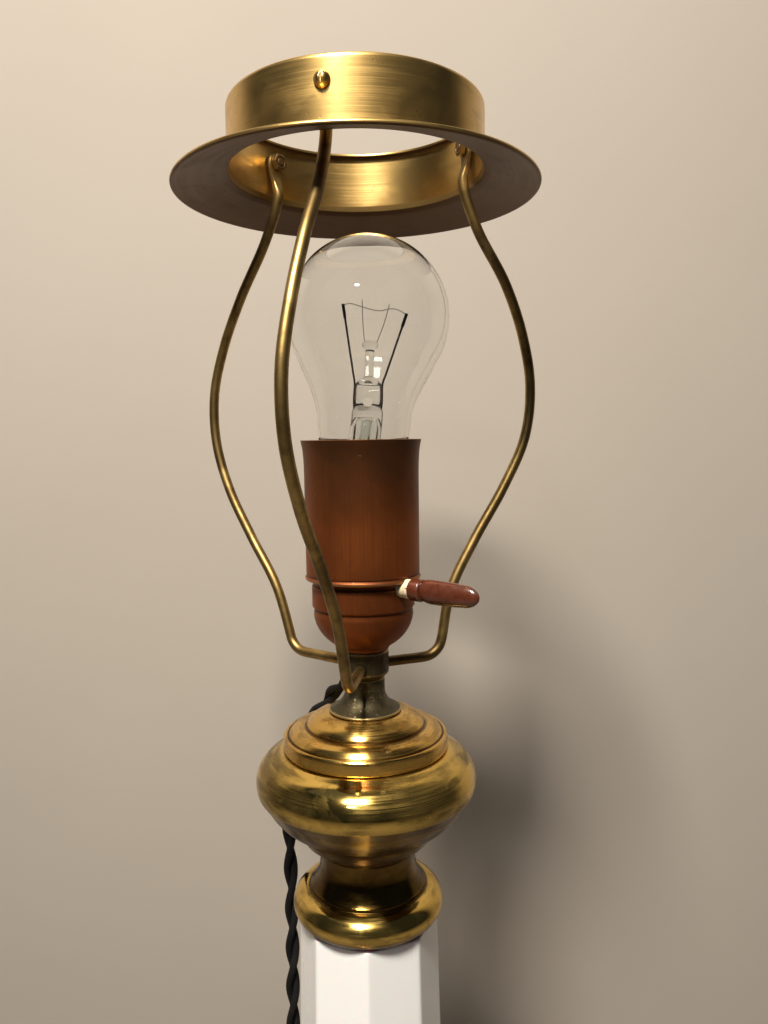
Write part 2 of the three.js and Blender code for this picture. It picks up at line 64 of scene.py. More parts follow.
# ---- Flex ----------------------------------------------------
# Two rubber cores, each in its own black cotton braid and twisted together. The flex comes out of
# the neck, hangs over the vase, runs down behind the column and is wound into a coil with a tie.
mm = 0.001
strand_radius = 1.55
strand_offset = 1.5
strand_sides = 14
pressed_share = 0.78  # how thick a strand is inside the bush
twist_pitch = 36
flex_route = [
    (4.2, 7.3, 332.4), (5.9, 10.2, 332.3), (7.1, 12.3, 331.5), (9, 15.6, 329.4), (12.3, 21.3, 325.2),
    (15.5, 26.6, 320.2), (18.9, 31.6, 314.8), (23, 35.6, 309), (27.6, 37.2, 302.4), (31.4, 35.4, 295),
    (33.6, 33, 286), (34.4, 31, 274), (34.2, 29.6, 256), (34, 29.4, 237), (34.2, 29.6, 207),
    (34.8, 30.2, 172), (35.4, 30.8, 130), (36, 31.3, 95), (38, 33, 68), (43.2, 37.6, 47),
    (51, 44.4, 34.4), (58.6, 51, 26), (66.6, 58, 18.4), (74, 64.4, 10.6), (82, 70, 5.2),
    (89.4, 77, 3.4), (94.2, 86, 3.3), (95.2, 95, 3.6),
]
coil_centre = np.array([-54, 122])
first_turn = 41.2
turn_pitch = 6.15
turns_down = 3  # the lower layer winds inwards
turns_up = 3.25  # the upper layer winds outwards again
lower_layer = 4
upper_layer = 10.1
rise_turns = 0.3  # share of a turn in which the flex climbs from one layer to the other
plug_neck = (10, coil_centre[1] + 42.7, 6.8)


def smoothstep(x, low, high):
    """0 below low, 1 above high, and 3t^2 - 2t^3 between them."""
    t = np.clip((np.asarray(x, float) - low) / (high - low), 0, 1)
    return t * t * (3 - 2 * t)


def distances(path):
    """How far along the line each of its points is."""
    return np.concatenate([[0], np.cumsum(np.linalg.norm(np.diff(path, axis=0), axis=1))])


def heading(path):
    """The unit direction of the line at each of its points."""
    along = np.gradient(path, axis=0)
    return along / np.linalg.norm(along, axis=1, keepdims=True)


def once_round(count):
    """Even angles once round a circle, in radians."""
    return np.linspace(0, 2 * np.pi, count, endpoint=False)


def capped(rows):
    """A skin's rows with a pole at each end: a row of equal points in the middle of the end row."""
    poles = [np.broadcast_to(rows[i].mean(0), rows[i].shape)[None] for i in (0, -1)]
    return np.concatenate([poles[0], rows, poles[1]])


def flowing(points, step):
    """A centripetal Catmull-Rom curve through the points, as points about a step apart.

    Each stretch between two points is the blend of the straight lines through its four
    neighbours, with knots spaced by the square root of the distances.
    """
    points = np.array(points, float)
    before, after = 2 * points[0] - points[1], 2 * points[-1] - points[-2]
    control = np.concatenate([[before], points, [after]])
    pieces = []
    for four in np.lib.stride_tricks.sliding_window_view(control, 4, axis=0).transpose(0, 2, 1):
        knot = np.concatenate([[0], np.cumsum(np.linalg.norm(np.diff(four, axis=0), axis=1) ** 0.5)])
        count = max(2, math.ceil(np.linalg.norm(four[2] - four[1]) / step))
        t = np.linspace(knot[1], knot[2], count, endpoint=False)[:, None]

        def between(a, b, start, end):
            return a * (end - t) / (end - start) + b * (t - start) / (end - start)

        first = [between(four[i], four[i + 1], knot[i], knot[i + 1]) for i in range(3)]
        second = [between(first[i], first[i + 1], knot[i], knot[i + 2]) for i in range(2)]
        pieces.append(between(second[0], second[1], knot[1], knot[2]))
    return np.concatenate([*pieces, points[-1:]])


def evenly(path, step):
    """The same line with its points a step apart."""
    along = distances(path)
    at = np.linspace(0, along[-1], max(2, round(along[-1] / step)) + 1)
    return np.column_stack([np.interp(at, along, path[:, axis]) for axis in range(path.shape[1])])


def coil_path(step_degrees=5):
    """The coil's turns: a spiral inwards on the table, a climb, and a spiral outwards on top.

    The angle runs clockwise from the coil's left side, the radius falls and then grows by one
    pitch a turn, and the height changes in the short climb round the change of direction.
    """
    turn = np.arange(0, turns_down + turns_up, step_degrees / 360)
    turn = np.append(turn, turns_down + turns_up)
    radius = first_turn - turn_pitch * (turns_down - np.abs(turn - turns_down))
    height = lower_layer + (upper_layer - lower_layer) * smoothstep(
        turn, turns_down - rise_turns / 2, turns_down + rise_turns / 2)
    angle = math.pi - 2 * math.pi * turn
    across = coil_centre + radius[:, None] * np.column_stack([np.cos(angle), np.sin(angle)])
    return np.column_stack([across, height])


flex_run = np.array(flex_route) * (-1, 1, 1)
coil_turns = coil_path()
flex_tail = [(-24, plug_neck[1], 9.2), (-10, plug_neck[1], 7.6), (0, plug_neck[1], 6.9), plug_neck]
flex_path = evenly(flowing(np.concatenate([flex_run, coil_turns, flex_tail]), 0.5), 1.2)


def carried(path):
    """Two directions at each point, square to the path and to each other, carried on without turning.

    Each step takes the last direction and removes the part of it that lies along the path.
    """
    along = heading(path)
    side = np.empty_like(path)
    last = np.cross(along[0], (0.1, 0.2, 1))
    for i, direction in enumerate(along):
        last = last - direction * np.dot(last, direction)
        last /= np.linalg.norm(last)
        side[i] = last
    return side, np.cross(along, side)


def strand(path, start_angle):
    """One strand: its centre turns round the path once a pitch, and its skin is a circle round that.

    The strand starts thinner, where the two are pressed together in the bush.
    """
    side, up = carried(path)
    along = distances(path)
    turn = start_angle + 2 * np.pi * along / twist_pitch
    pressed = pressed_share + (1 - pressed_share) * smoothstep(along, 2, 7)
    out = np.cos(turn)[:, None] * side + np.sin(turn)[:, None] * up
    over = -np.sin(turn)[:, None] * side + np.cos(turn)[:, None] * up
    round_strand = once_round(strand_sides)[None, :, None]
    skin = np.cos(round_strand) * out[:, None] + np.sin(round_strand) * over[:, None]
    skin = strand_offset * out[:, None] + strand_radius * skin
    return capped(path[:, None] + pressed[:, None, None] * skin)


def surface(name, *grids, loops=(True,), uv_size=(1, 1), marks=()):
    """A mesh object from grids of points in metres: points[i, j], whose squares are its faces.

    j always closes on itself. loops says of each grid whether i does too. The UV map runs along i
    and j, and uv_size is what one whole grid measures in it. marks are values at the points, by
    name. Coinciding points are merged, so a row of equal points becomes a closed pole, and faces
    are turned to point outwards.
    """
    corners, faces, uvs, total = [], [], [], 0
    for grid, closed in zip(grids, loops * len(grids)):
        rows, columns = grid.shape[:2]
        i, j = np.meshgrid(np.arange(rows if closed else rows - 1), np.arange(columns), indexing="ij")
        step = [(0, 0), (0, 1), (1, 1), (1, 0)]
        quad = np.stack([(i + a) % rows * columns + (j + b) % columns for a, b in step], -1)
        quad = quad.reshape(-1, 4)
        uv = np.stack([np.stack([(i + a) / rows, (j + b) / columns], -1) for a, b in step], -2)
        a, b, c, d = (grid.reshape(-1, 3)[quad[:, k]] for k in range(4))
        volume = np.einsum("ij,ij->", a, np.cross(b, c)) + np.einsum("ij,ij->", a, np.cross(c, d))
        if volume < 0:
            quad, uv = quad[:, ::-1], uv[:, :, ::-1]
        corners.append(grid.reshape(-1, 3))
        faces.append(quad + total)
        uvs.append(uv.reshape(-1, 2) * uv_size)
        total += rows * columns
    corners, faces, uvs = np.concatenate(corners), np.concatenate(faces), np.concatenate(uvs)
    mesh = bpy.data.meshes.new(name)
    mesh.vertices.add(len(corners))
    mesh.vertices.foreach_set("co", corners.astype(np.float32).ravel())
    mesh.loops.add(faces.size)
    mesh.loops.foreach_set("vertex_index", faces.astype(np.int32).ravel())
    mesh.polygons.add(len(faces))
    mesh.polygons.foreach_set("loop_start", np.arange(0, faces.size, 4, dtype=np.int32))
    mesh.polygons.foreach_set("use_smooth", np.full(len(faces), True))
    mesh.uv_layers.new(name="UVMap").data.foreach_set("uv", uvs.astype(np.float32).ravel())
    for word, values in dict(marks).items():
        mark = mesh.attributes.new(word, "FLOAT", "POINT")
        mark.data.foreach_set("value", values.astype(np.float32))
    mesh.update(calc_edges=True)
    merged = bmesh.new()
    merged.from_mesh(mesh)
    bmesh.ops.remove_doubles(merged, verts=merged.verts, dist=1e-7)
    merged.to_mesh(mesh)
    merged.free()
    piece = bpy.data.objects.new(name, mesh)
    bpy.context.scene.collection.objects.link(piece)
    return piece


class Wire:
    """A node's output in a formula: + - * / and ** each add one Math node."""

    def __init__(self, finish, node, output=0):
        self.finish = finish
        self.node = node
        self.socket = node.outputs[output]

    def also(self, output):
        return Wire(self.finish, self.node, output)

    def combine(self, operation, first, second):
        return self.finish.node("Math", {"operation": operation}, {0: first, 1: second})

    def __add__(self, other):
        return self.combine("ADD", self, other)

    def __sub__(self, other):
        return self.combine("SUBTRACT", self, other)

    def __rsub__(self, other):
        return self.combine("SUBTRACT", other, self)

    def __mul__(self, other):
        return self.combine("MULTIPLY", self, other)

    def __truediv__(self, other):
        return self.combine("DIVIDE", self, other)

    def __pow__(self, other):
        return self.combine("POWER", self, other)

    __radd__ = __add__
    __rmul__ = __mul__


class Finish:
    """A material under construction, with the patterns that the lamp's finishes share."""

    def __init__(self, name, **constants):
        self.material = bpy.data.materials.new(name)
        self.material.use_nodes = True
        self.tree = self.material.node_tree
        self.shader = self.tree.nodes["Principled BSDF"]
        for socket, value in constants.items():
            self.shader.inputs[socket.replace("_", " ")].default_value = value
        self.place = self.node("TexCoord", out="Object")

    def node(self, kind, settings=(), inputs=(), out=0):
        """One node: first its settings, then its inputs' values or wires. Gives the named output."""
        node = self.tree.nodes.new("ShaderNode" + kind)
        for setting, value in dict(settings).items():
            setattr(node, setting, value)
        for socket, value in dict(inputs).items():
            if isinstance(value, Wire):
                self.tree.links.new(value.socket, node.inputs[socket])
            else:
                node.inputs[socket].default_value = value
        return Wire(self, node, out)

    def noise(self, scale, detail=3, at=None, **more):
        """Cloudy noise from 0 to 1, with scale clouds a metre."""
        inputs = {"Vector": at or self.place, "Scale": scale, "Detail": detail, **more}
        return self.node("TexNoise", {}, inputs)

    def stretched(self, scales, detail=3):
        """Noise with its own number of clouds a metre along each axis."""
        at = self.node("Mapping", {}, {"Vector": self.place, "Scale": scales})
        return self.noise(1, detail, at)

    def lathe_noise(self, across, around, detail=3):
        """Noise on a turned piece: across clouds a metre over the profile, around clouds round it.

        It is read at (radius, height, cosine, sine) of the point, so it joins up all the way round.
        """
        split = self.node("SeparateXYZ", {}, {0: self.place})
        x, y, z = split, split.also("Y"), split.also("Z")
        radius = (x * x + y * y) ** 0.5 + 1e-6
        at = self.node("CombineXYZ", {}, {0: radius * across, 1: z * across, 2: x / radius * around})
        settings = {"noise_dimensions": "4D"}
        inputs = {"Vector": at, "W": y / radius * around, "Scale": 1, "Detail": detail}
        return self.node("TexNoise", settings, inputs)

    def spots(self, scale, size):
        """1 in small round spots, 0 between them."""
        cells = self.node("TexVoronoi", {}, {"Vector": self.place, "Scale": scale}, "Distance")
        return self.mask(cells, size, size * 0.6)

    def mask(self, value, low, high):
        """0 where the value is at low, 1 where it is at high, and an even slope between them."""
        inputs = {"Value": value, "From Min": low, "From Max": high}
        return self.node("MapRange", {"clamp": True}, inputs)

    def mix(self, share, first, second):
        """The first colour where share is 0, and the second where it is 1."""
        colours = [c if isinstance(c, Wire) else (*c, 1) for c in (first, second)]
        inputs = {0: share, 6: colours[0], 7: colours[1]}
        return self.node("Mix", {"data_type": "RGBA"}, inputs, 2)

    def attribute(self, name):
        return self.node("Attribute", {"attribute_name": name}, (), "Fac")

    def height(self):
        """The height of the point in the piece's own axes, in metres."""
        return self.node("SeparateXYZ", {}, {0: self.place}, "Z")

    def done(self, height=None, depth=0.0001, **varying):
        """Joins the varying sockets, and a bump of the given depth in metres, to the shader."""
        if height is not None:
            inputs = {"Height": height, "Distance": depth, "Strength": 1}
            varying["Normal"] = self.node("Bump", {}, inputs)
        for socket, wire in varying.items():
            self.tree.links.new(wire.socket, self.shader.inputs[socket.replace("_", " ")])
        return self.material


def dress(piece, material, slot, *nodes, body="lamp"):
    """Gives a piece its material, hides the CAD nodes it stands for, and ties it to a body. The slot is
    not used.
    """
    piece.data.materials.clear()
    piece.data.materials.append(material)
    if nodes:
        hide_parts(*nodes)
    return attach(piece, body)


def cotton_braid():
    """Black glazed cotton: threads cross in two slants, a little dusty on their tops."""
    threads_along = 1050  # crossings a metre
    threads_around = 8
    f = Finish("black_cotton_braid", Specular_IOR_Level=0.2)
    split = f.node("SeparateXYZ", {}, {0: f.node("TexCoord", out="UV")})
    along, around = split * threads_along, split.also("Y") * threads_around
    slants = []
    for way in (1, -1):
        slant = (along + way * around) * (2 * math.pi)
        slants.append(f.node("Math", {"operation": "SINE"}, {0: slant}))
    weave = f.node("Math", {"operation": "MAXIMUM"}, {0: slants[0], 1: slants[1]}) * 0.5 + 0.5
    fluff = f.noise(900)
    dust = f.mask(f.noise(60), 0.45, 0.75) * weave
    thread = f.mix(weave * fluff, (0.0025, 0.0025, 0.003), (0.009, 0.0085, 0.0085))
    colour = f.mix(dust * 0.3, thread, (0.035, 0.031, 0.026))
    return f.done(weave + fluff * 0.5, 0.00018, Base_Color=colour, Roughness=0.6 + fluff * 0.3)


flex_length = distances(flex_path)[-1] * mm
strands = [strand(flex_path, angle) * mm for angle in (0, math.pi)]
flex = surface("flex", *strands, loops=(False,), uv_size=(flex_length, 1))
dress(flex, cotton_braid(), "black_braid", "cord_run", "cord_coil", "cord_tail")

# ---- Plug ----------------------------------------------------
# A moulded two-pin plug of black plastic, waisted for the fingers and ribbed at its sides. The two
# nickelled pins are turned.
plug_length = 38
plug_stations = [(0, 4), (6, 4.4), (10, 6.2), (15, 10.6), (20, 12.7), (30, 12.9), (38, 12.9)]
plug_half_height = 6.5
plug_neck_half_height = 4.2
plug_edge = 1.2
rib_depth = 0.35
rib_pitch = 2.6


def plug_skin():
    """Rounded-box sections along the plug: half-width from the stations, half-height nearly even.

    Each section is a superellipse, |y/w|^3 + |z/h|^3 = 1, and shallow ribs run round the grip.
    The ends draw in by an eighth, as the square of how near they are.
    """
    stations = evenly(flowing(plug_stations, 0.3), 0.4)
    along, half_width = stations[:, 0], stations[:, 1]
    swell = plug_half_height - plug_neck_half_height
    half_height = plug_neck_half_height + swell * smoothstep(along, 3, 17)
    end = np.minimum(along, plug_length - along)
    rounding = 1 - 0.12 * np.clip(1 - end / plug_edge, 0, 1) ** 2
    ribs = rib_depth * np.clip(np.cos(2 * np.pi * along / rib_pitch), 0, 1)
    ribs *= smoothstep(along, 18, 20) * (1 - smoothstep(along, 32, 34))
    angle = once_round(96)
    flat = (np.abs(np.cos(angle)) ** 3 + np.abs(np.sin(angle)) ** 3) ** (-1 / 3)
    y = ((half_width - ribs) * rounding)[:, None] * flat * np.cos(angle)
    z = (half_height * rounding)[:, None] * flat * np.sin(angle)
    rows = np.stack([np.broadcast_to(along[:, None], y.shape), y, z], -1) + plug_neck
    return capped(rows) * mm


def moulded(name, colour, roughness=0.35):
    """Moulded plastic or rubber: a fine orange-peel skin, handling marks and a trace of dust."""
    f = Finish(name, Specular_IOR_Level=0.5)
    peel = f.noise(1400)
    wear = f.mask(f.noise(90, 5), 0.4, 0.7)
    lighter = tuple(0.03 + 1.3 * part for part in colour)
    shade = f.mix(wear * 0.5, colour, lighter)
    return f.done(peel, 0.00003, Base_Color=shade, Roughness=roughness + wear * 0.2)


plug = surface("plug", plug_skin(), loops=(False,))
dress(plug, moulded("black_plastic", (0.012, 0.012, 0.013)), "black_plastic", "plug_body")


def eased(outline, closed, ease=0.18, turn=7.0, spacing=1.6):
    """The outline with its corners eased, and its points closer together where it bends.

    The line is cut into even small steps and averaged with a bell curve of the width ease, in mm.
    Then points are kept at equal rises of (angle turned / turn + length / spacing). An open
    outline starts and ends on the axis, so it is mirrored there. Gives the points and their crest:
    how sharply each one stands out (above 0) or in (below 0), averaged over 24 small steps.
    """
    fine = 0.05
    crest_steps = 24
    line = np.array(outline, float)
    if closed:
        line = np.concatenate([line, line[:1]])
    r, z = line.T
    if np.sum(r[:-1] * z[1:] - r[1:] * z[:-1]) < 0:
        line = line[::-1]
    dense = evenly(line, fine)[: -1 if closed else None]
    reach = math.ceil(3 * ease / fine)
    if closed:
        before, after = dense[-reach:], dense[:reach]
    else:
        before, after = dense[reach:0:-1] * (-1, 1), dense[-2:-reach - 2:-1] * (-1, 1)
    padded = np.concatenate([before, dense, after])
    bell = np.exp(-0.5 * (np.arange(-reach, reach + 1) * fine / ease) ** 2)
    bell /= bell.sum()
    dense = np.column_stack([np.convolve(padded[:, axis], bell, "valid") for axis in (0, 1)])
    if closed:
        dense = np.concatenate([dense, dense[:1]])
    step = np.diff(dense, axis=0)
    bend = np.append(np.diff(np.unwrap(np.arctan2(step[:, 1], step[:, 0]))), 0)
    cost = np.abs(bend) / math.radians(turn) + np.hypot(*step.T) / spacing
    cost = np.concatenate([[0], np.cumsum(cost)])
    at = np.interp(np.linspace(0, cost[-1], math.ceil(cost[-1]) + 1), cost, np.arange(len(cost)))
    if closed:
        at = at[:-1]
    points = np.column_stack([np.interp(at, np.arange(len(dense)), dense[:, axis]) for axis in (0, 1)])
    even = np.ones(crest_steps) / crest_steps
    sharpness = np.convolve(np.append(bend, bend[-1]) / fine, even, "same")
    if not closed:
        points[[0, -1], 0] = 0
    return points, np.clip(np.interp(at, np.arange(len(sharpness)), sharpness), -1, 1)


def facing_down(points, closed):
    """How far each point of an outline faces down: the downward part of its normal, 0 to 1."""
    ahead, behind = np.roll(points, -1, axis=0), np.roll(points, 1, axis=0)
    if not closed:
        ahead[-1], behind[0] = points[-1], points[0]
    along = ahead - behind
    return np.clip(along[:, 0] / np.maximum(np.hypot(*along.T), 1e-9), 0, 1)


def round_axis(points, around=112):
    """The outline turned about Z: (r sin a, -r cos a, z), with a from the front round the right."""
    angle = once_round(around)
    r, z = points[:, :1], points[:, 1:]
    return np.stack([r * np.sin(angle), -r * np.cos(angle), np.broadcast_to(z, (len(r), around))], -1)


def turned(name, outline, around=112, place=None, shaded_band=None, **how):
    """A turned piece. An outline in mm that touches the axis is open, any other closes on itself.

    The band of heights given after place is marked, and the metal finish darkens it with
    painted shade, as under an overhang.
    """
    closed = outline[0][0] > 1e-6
    points, crest = eased(outline, closed, **how)
    grid = round_axis(points, around)
    if place is not None:
        grid = place(grid)
    marks = {"crest": np.repeat(crest, around), "under": np.repeat(facing_down(points, closed), around)}
    if shaded_band:
        low, high = shaded_band
        height = points[:, 1]
        # Painted shade: these heights are marked to be darkened, as under an overhang.
        shaded_share = smoothstep(height, low - 1.5, low) * (1 - smoothstep(height, high, high + 6))
        marks["shaded_band"] = np.repeat(shaded_share, around)
    return surface(name, grid * mm, loops=(closed,), marks=marks)


def along_x(start):
    """Lays what stands on Z along +X from a start point."""
    return lambda grid: grid[..., [2, 1, 0]] + start


def metal(name, bright, aged, roughness=0.3, patches=0.5, marks=1.0, spread=0.14, under=0.0,
          lathe=0.5):
    """Bare turned metal. bright is the rubbed colour and aged the tarnished one, linear.

    Tarnish lies in cloudy patches and in smears drawn out round the piece, brown dirt in its
    corners, and crests are rubbed bright. Painted shade darkens the marked band under an overhang,
    and the undersides as far as under says, which are also made rougher and less metallic. Lathe
    marks, as strong as lathe says, draw highlights out across them.
    """
    f = Finish(name, Anisotropic=lathe, Anisotropic_Rotation=0.25)
    clouds = f.noise(38, 5, Distortion=0.6)
    streaks = f.lathe_noise(420, 3, 4)
    scratched = f.mask(clouds + streaks * 0.3, 0.5, 0.8)
    grooves = f.mask(f.lathe_noise(2600, 1.5, 2), 0.42, 0.62) * scratched
    groove_gloss = min(0.25, 0.15 * marks)
    crest = f.attribute("crest")
    tarnish = clouds * 0.75 + streaks * 0.45 - crest * 0.35
    tarnish = f.mask(tarnish, 0.78 - patches * 0.35, 0.98 - patches * 0.3)
    smears = f.mask(f.lathe_noise(300, 2.2, 6), 0.5, 0.58) * f.mask(clouds, 0.4, 0.55) * patches
    film = f.mask(f.noise(62, 6, Distortion=1.4), 0.57, 0.61) * patches
    pits = f.spots(520, 0.16) * f.mask(f.noise(70), 0.5, 0.62)
    dirt = f.mask(crest * -1 + streaks * 0.3, 0.4, 0.95)
    # dark is the colour of the dirt and pits, and also of the painted shade below.
    dark = tuple(part * share for part, share in zip(aged, (0.22, 0.15, 0.11)))
    # Painted shade: undersides are darkened, and also made rougher and less metallic, as far as under
    # says.
    dull = f.mask(f.attribute("under") + clouds * 0.3, 0.12, 0.8) * under
    skin = f.mix(smears, f.mix(tarnish, bright, aged), tuple(part * 0.5 for part in aged))
    skin = f.mix(film * 0.6, skin, tuple(part * 0.55 for part in bright))
    # Painted shade in the marked band, as under an overhang.
    shaded_band = f.mask(f.attribute("shaded_band") + clouds * 0.5 - 0.25, 0.2, 1) * 0.9
    skin = f.mix(dull, f.mix(shaded_band, skin, dark), dark)
    colour = f.mix(pits * 0.6 + dirt * 0.7, skin, dark)
    gloss = roughness + tarnish * spread + smears * 0.12 + film * 0.14 + grooves * groove_gloss
    gloss = gloss + dull * 0.2 - 0.06
    height = streaks * 0.5 * marks + grooves * 0.3 * marks - pits * 1.5 + smears * 0.4
    return f.done(height, 0.000012, Base_Color=colour, Roughness=gloss, Metallic=1 - dull * 0.4)


nickel = metal("nickel_plate", (0.62, 0.58, 0.5), (0.36, 0.32, 0.26), 0.22)
pin_outline = [(0, 0), (2, 0), (2, 17), (1.2, 19), (0, 19)]
pin_spacing = 19
for number, side in ((1, -0.5), (2, 0.5)):
    start = np.array(plug_neck) + (plug_length + 0.3, side * pin_spacing, 0)
    pin = turned(f"plug_pin_{number}_turned", pin_outline, 32, along_x(start), ease=0.25)
    dress(pin, nickel, "nickel", f"plug_pin_{number}")

# ---- Tie -----------------------------------------------------
# A short band of green felt ribbon round one side of the coil, lapped over itself on top.
tie_middle = 32.7  # from the coil's centre to its right
tie_reach = 14.1
tie_low = 0.55
tie_top = 13.9
tie_width = 7
tie_thickness = 0.5


def felt(name, colour):
    """Pressed wool: short crossing fibres, uneven dye and a soft sheen at the edges."""
    f = Finish(name, Specular_IOR_Level=0.1, Sheen_Weight=0.5, Sheen_Roughness=0.6)
    fibres = f.noise(1500, 5, Distortion=2.5)
    pile = f.noise(240, 4)
    lighter = tuple(part * 2.4 + 0.01 for part in colour)
    shade = f.mix(f.mask(fibres * 0.6 + pile * 0.4, 0.35, 0.7), colour, lighter)
    return f.done(fibres + pile, 0.0003, Base_Color=shade, Roughness=0.8 + fibres * 0.2)


def tie_skin():
    """A flat ribbon carried round a rounded rectangle that hugs the coil, at y = coil centre."""
    corner = 3.5
    angle = once_round(120)
    middle = (coil_centre[0] + tie_middle, (tie_top + tie_low) / 2)
    half = (tie_reach, (tie_top - tie_low) / 2)
    normal = np.column_stack([np.cos(angle), np.sin(angle)])
    square = np.clip(normal * 4, -1, 1)
    line = np.array(middle) + square * (np.array(half) - corner) + normal * corner
    section = [(-1, -0.5), (-0.96, 0.35), (-0.9, 0.5), (0.9, 0.5), (0.96, 0.35), (1, -0.5), (0, -0.5)]
    section = np.array(section)
    ripple = 0.35 * np.sin(5 * angle)
    y = coil_centre[1] + section[:, 0] * tie_width / 2 + ripple[:, None]
    out = section[:, 1] * tie_thickness
    x = line[:, :1] + normal[:, :1] * out
    z = line[:, 1:] + normal[:, 1:] * out
    return np.stack([x, y, z], -1) * mm


felt_green = felt("green_felt", (0.012, 0.035, 0.018))
tie = dress(surface("coil_tie", tie_skin()), felt_green, "felt", "cord_tie")

# ---- Foot ----------------------------------------------------
# A spun brass foot, drawn up in an ogee from a rolled rim. A cast-iron ring inside weighs it down,
# a washer and nut on the tube clamp it, and a felt disc closes it underneath.
wall_foot = 2.2
bore = 5.4  # radius of the hole that the tube runs through, in every turned piece


def arc(centre, across, up, start, end, count=20):
    """Points on an arc of an ellipse round a centre in the outline, angles in degrees."""
    angle = np.radians(np.linspace(start, end, count + 1))
    return [*zip(centre[0] + across * np.cos(angle), centre[1] + up * np.sin(angle))]


def refinish(material, *nodes):
    """Gives CAD nodes whose shape stays a finish of their own."""
    for node in nodes:
        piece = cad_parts[node]
        piece.data.materials.clear()
        piece.data.materials.append(material)


# under=0.97 paints shade on nearly all of its undersides.
worn_brass = metal("worn_polished_brass", (0.8, 0.54, 0.14), (0.28, 0.19, 0.055), 0.16, patches=0.7,
                   marks=1.4, spread=0.12, under=0.97, lathe=0.4)
foot_outline = [
    (81, 2.3), (82, 4), *arc((77, 9), 5, 4.5, 0, 90), (73.6, 14), (73, 15.4), (72.4, 17.8),
    *arc((72.4, 46), 29, 27.8, -93, -156), (44.6, 35), (43.6, 35.2), (43, 36), (bore, 36), (bore, 33.8),
    (43, 33.4), *arc((72.4, 46), 31.2, 30, -152, -100), (71.5, 14), (82 - wall_foot, 9),
    (82 - wall_foot, 2.3),
]
dress(turned("foot_spinning", foot_outline, 160), worn_brass, "polished_brass", "foot")


def cast_iron():
    """Sand-cast iron: a grainy skin with a brown bloom of rust in its hollows."""
    f = Finish("sand_cast_iron", Metallic=0.6)
    grain = f.noise(900, 4)
    rust = f.mask(f.noise(55, 6), 0.5, 0.66)
    colour = f.mix(rust, (0.05, 0.048, 0.046), (0.12, 0.045, 0.018))
    return f.done(grain + rust * 0.6, 0.0003, Base_Color=colour, Roughness=0.6 + grain * 0.25)


refinish(cast_iron(), "base_weight")
felt_outline = [(0, 0), (79.4, 0), (80, 0.7), (80, 1.3), (79.4, 2), (0, 2)]
dress(turned("felt_disc", felt_outline, 120, ease=0.2, spacing=4), felt_green, "felt", "felt_pad")

# ---- Tube and its fixings ------------------------------------
# A zinc-plated threaded tube runs from under the foot to the lampholder and pulls the stack
# together. The nipple on top carries the lampholder and its lock nut.
zinc = metal("zinc_plated_steel", (0.5, 0.5, 0.49), (0.28, 0.27, 0.25), 0.34, 0.5)
refinish(zinc, "tie_rod", "base_washer", "base_nut", "threaded_nipple", "nipple_nut")

# ---- Base cup ------------------------------------------------
# A turned brass cup with a rounded rim. The column stands on it, and it hides the joint with
# the foot.
cup_top = 52.1
cup_outline = [
    (bore, cup_top), (33.2, cup_top), *arc((33.6, cup_top - 4.6), 4, 4.6, 88, -62), (34.6, 42.2),
    (34.2, 41.2), (35.4, 40.2), (37.4, 38.6), (39.6, 37.8), (40, 36.3), (bore, 36.3),
]
dress(turned("column_cup", cup_outline, 128), worn_brass, "polished_brass", "base_cup")

# ---- Column --------------------------------------------------
# Eight flats ground on a tapering white glass tube, with softened arrises. The glass is opal, so
# it glows a little where the light falls on it.
column_low, column_high = (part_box("column")[end].z / mm for end in (0, 1))
column_radius_low = 31.3
column_radius_high = 27.1
column_bore = 8


def eight_flats(grid):
    """Draws the turned grid in to an octagon with an arris at the front.

    The flats' distance d along eight directions gives the radius (sum of cos^p)^(-1/p) * d, a
    polygon with round corners. The bore keeps its circle: the change grows with the radius.
    """
    x, y, z = np.moveaxis(grid, -1, 0)
    radius, angle = np.hypot(x, y), np.arctan2(x, -y)
    sharp = 90
    facing = np.cos(angle[..., None] - np.pi / 8 * np.arange(1, 16, 2))
    octagon = np.cos(np.pi / 8) * np.sum(np.clip(facing, 0, 1) ** sharp, -1) ** (-1 / sharp)
    share = 1 + (octagon - 1) * smoothstep(radius, column_bore + 2, column_bore + 14)
    return np.stack([x * share, y * share, z], -1)


def opal_glass():
    """Opal glass: milky white, a glassy surface with faint grinding waves and a few seed bubbles."""
    f = Finish("opal_glass", Coat_Weight=0.6, Coat_Roughness=0.05, Subsurface_Weight=0.25,
               Subsurface_Scale=0.004, Specular_IOR_Level=0.5)
    cloud = f.noise(22, 4)
    waves = f.stretched((30, 30, 9), 2)
    seeds = f.spots(260, 0.09) * f.mask(f.noise(40), 0.55, 0.65)
    smear = f.mask(f.stretched((60, 60, 14), 4), 0.45, 0.7)
    milk = f.mix(cloud, (0.80, 0.80, 0.80), (0.87, 0.86, 0.85))
    colour = f.mix(seeds * 0.5, milk, (0.62, 0.6, 0.57))
    return f.done(waves + seeds * 0.3, 0.00006, Base_Color=colour, Roughness=0.16 + smear * 0.14)


column_outline = [
    (column_bore, column_low), (column_radius_low, column_low),
    (column_radius_high, column_high), (column_bore, column_high),
]
column = turned("white_column", column_outline, 384, eight_flats, ease=0.5, spacing=4)
dress(column, opal_glass(), "opal_white", "column")

# ---- Column cap ----------------------------------------------
# Turned brass: a waisted neck with a fine step over a fat bead, which overhangs the column.
# From here on, heights are measured from the rim of the lampholder.
rim = 427


def above(height):
    """Lifts a turned piece, whose outline is measured from the rim, to its place."""
    return lambda grid: grid + (0, 0, height)


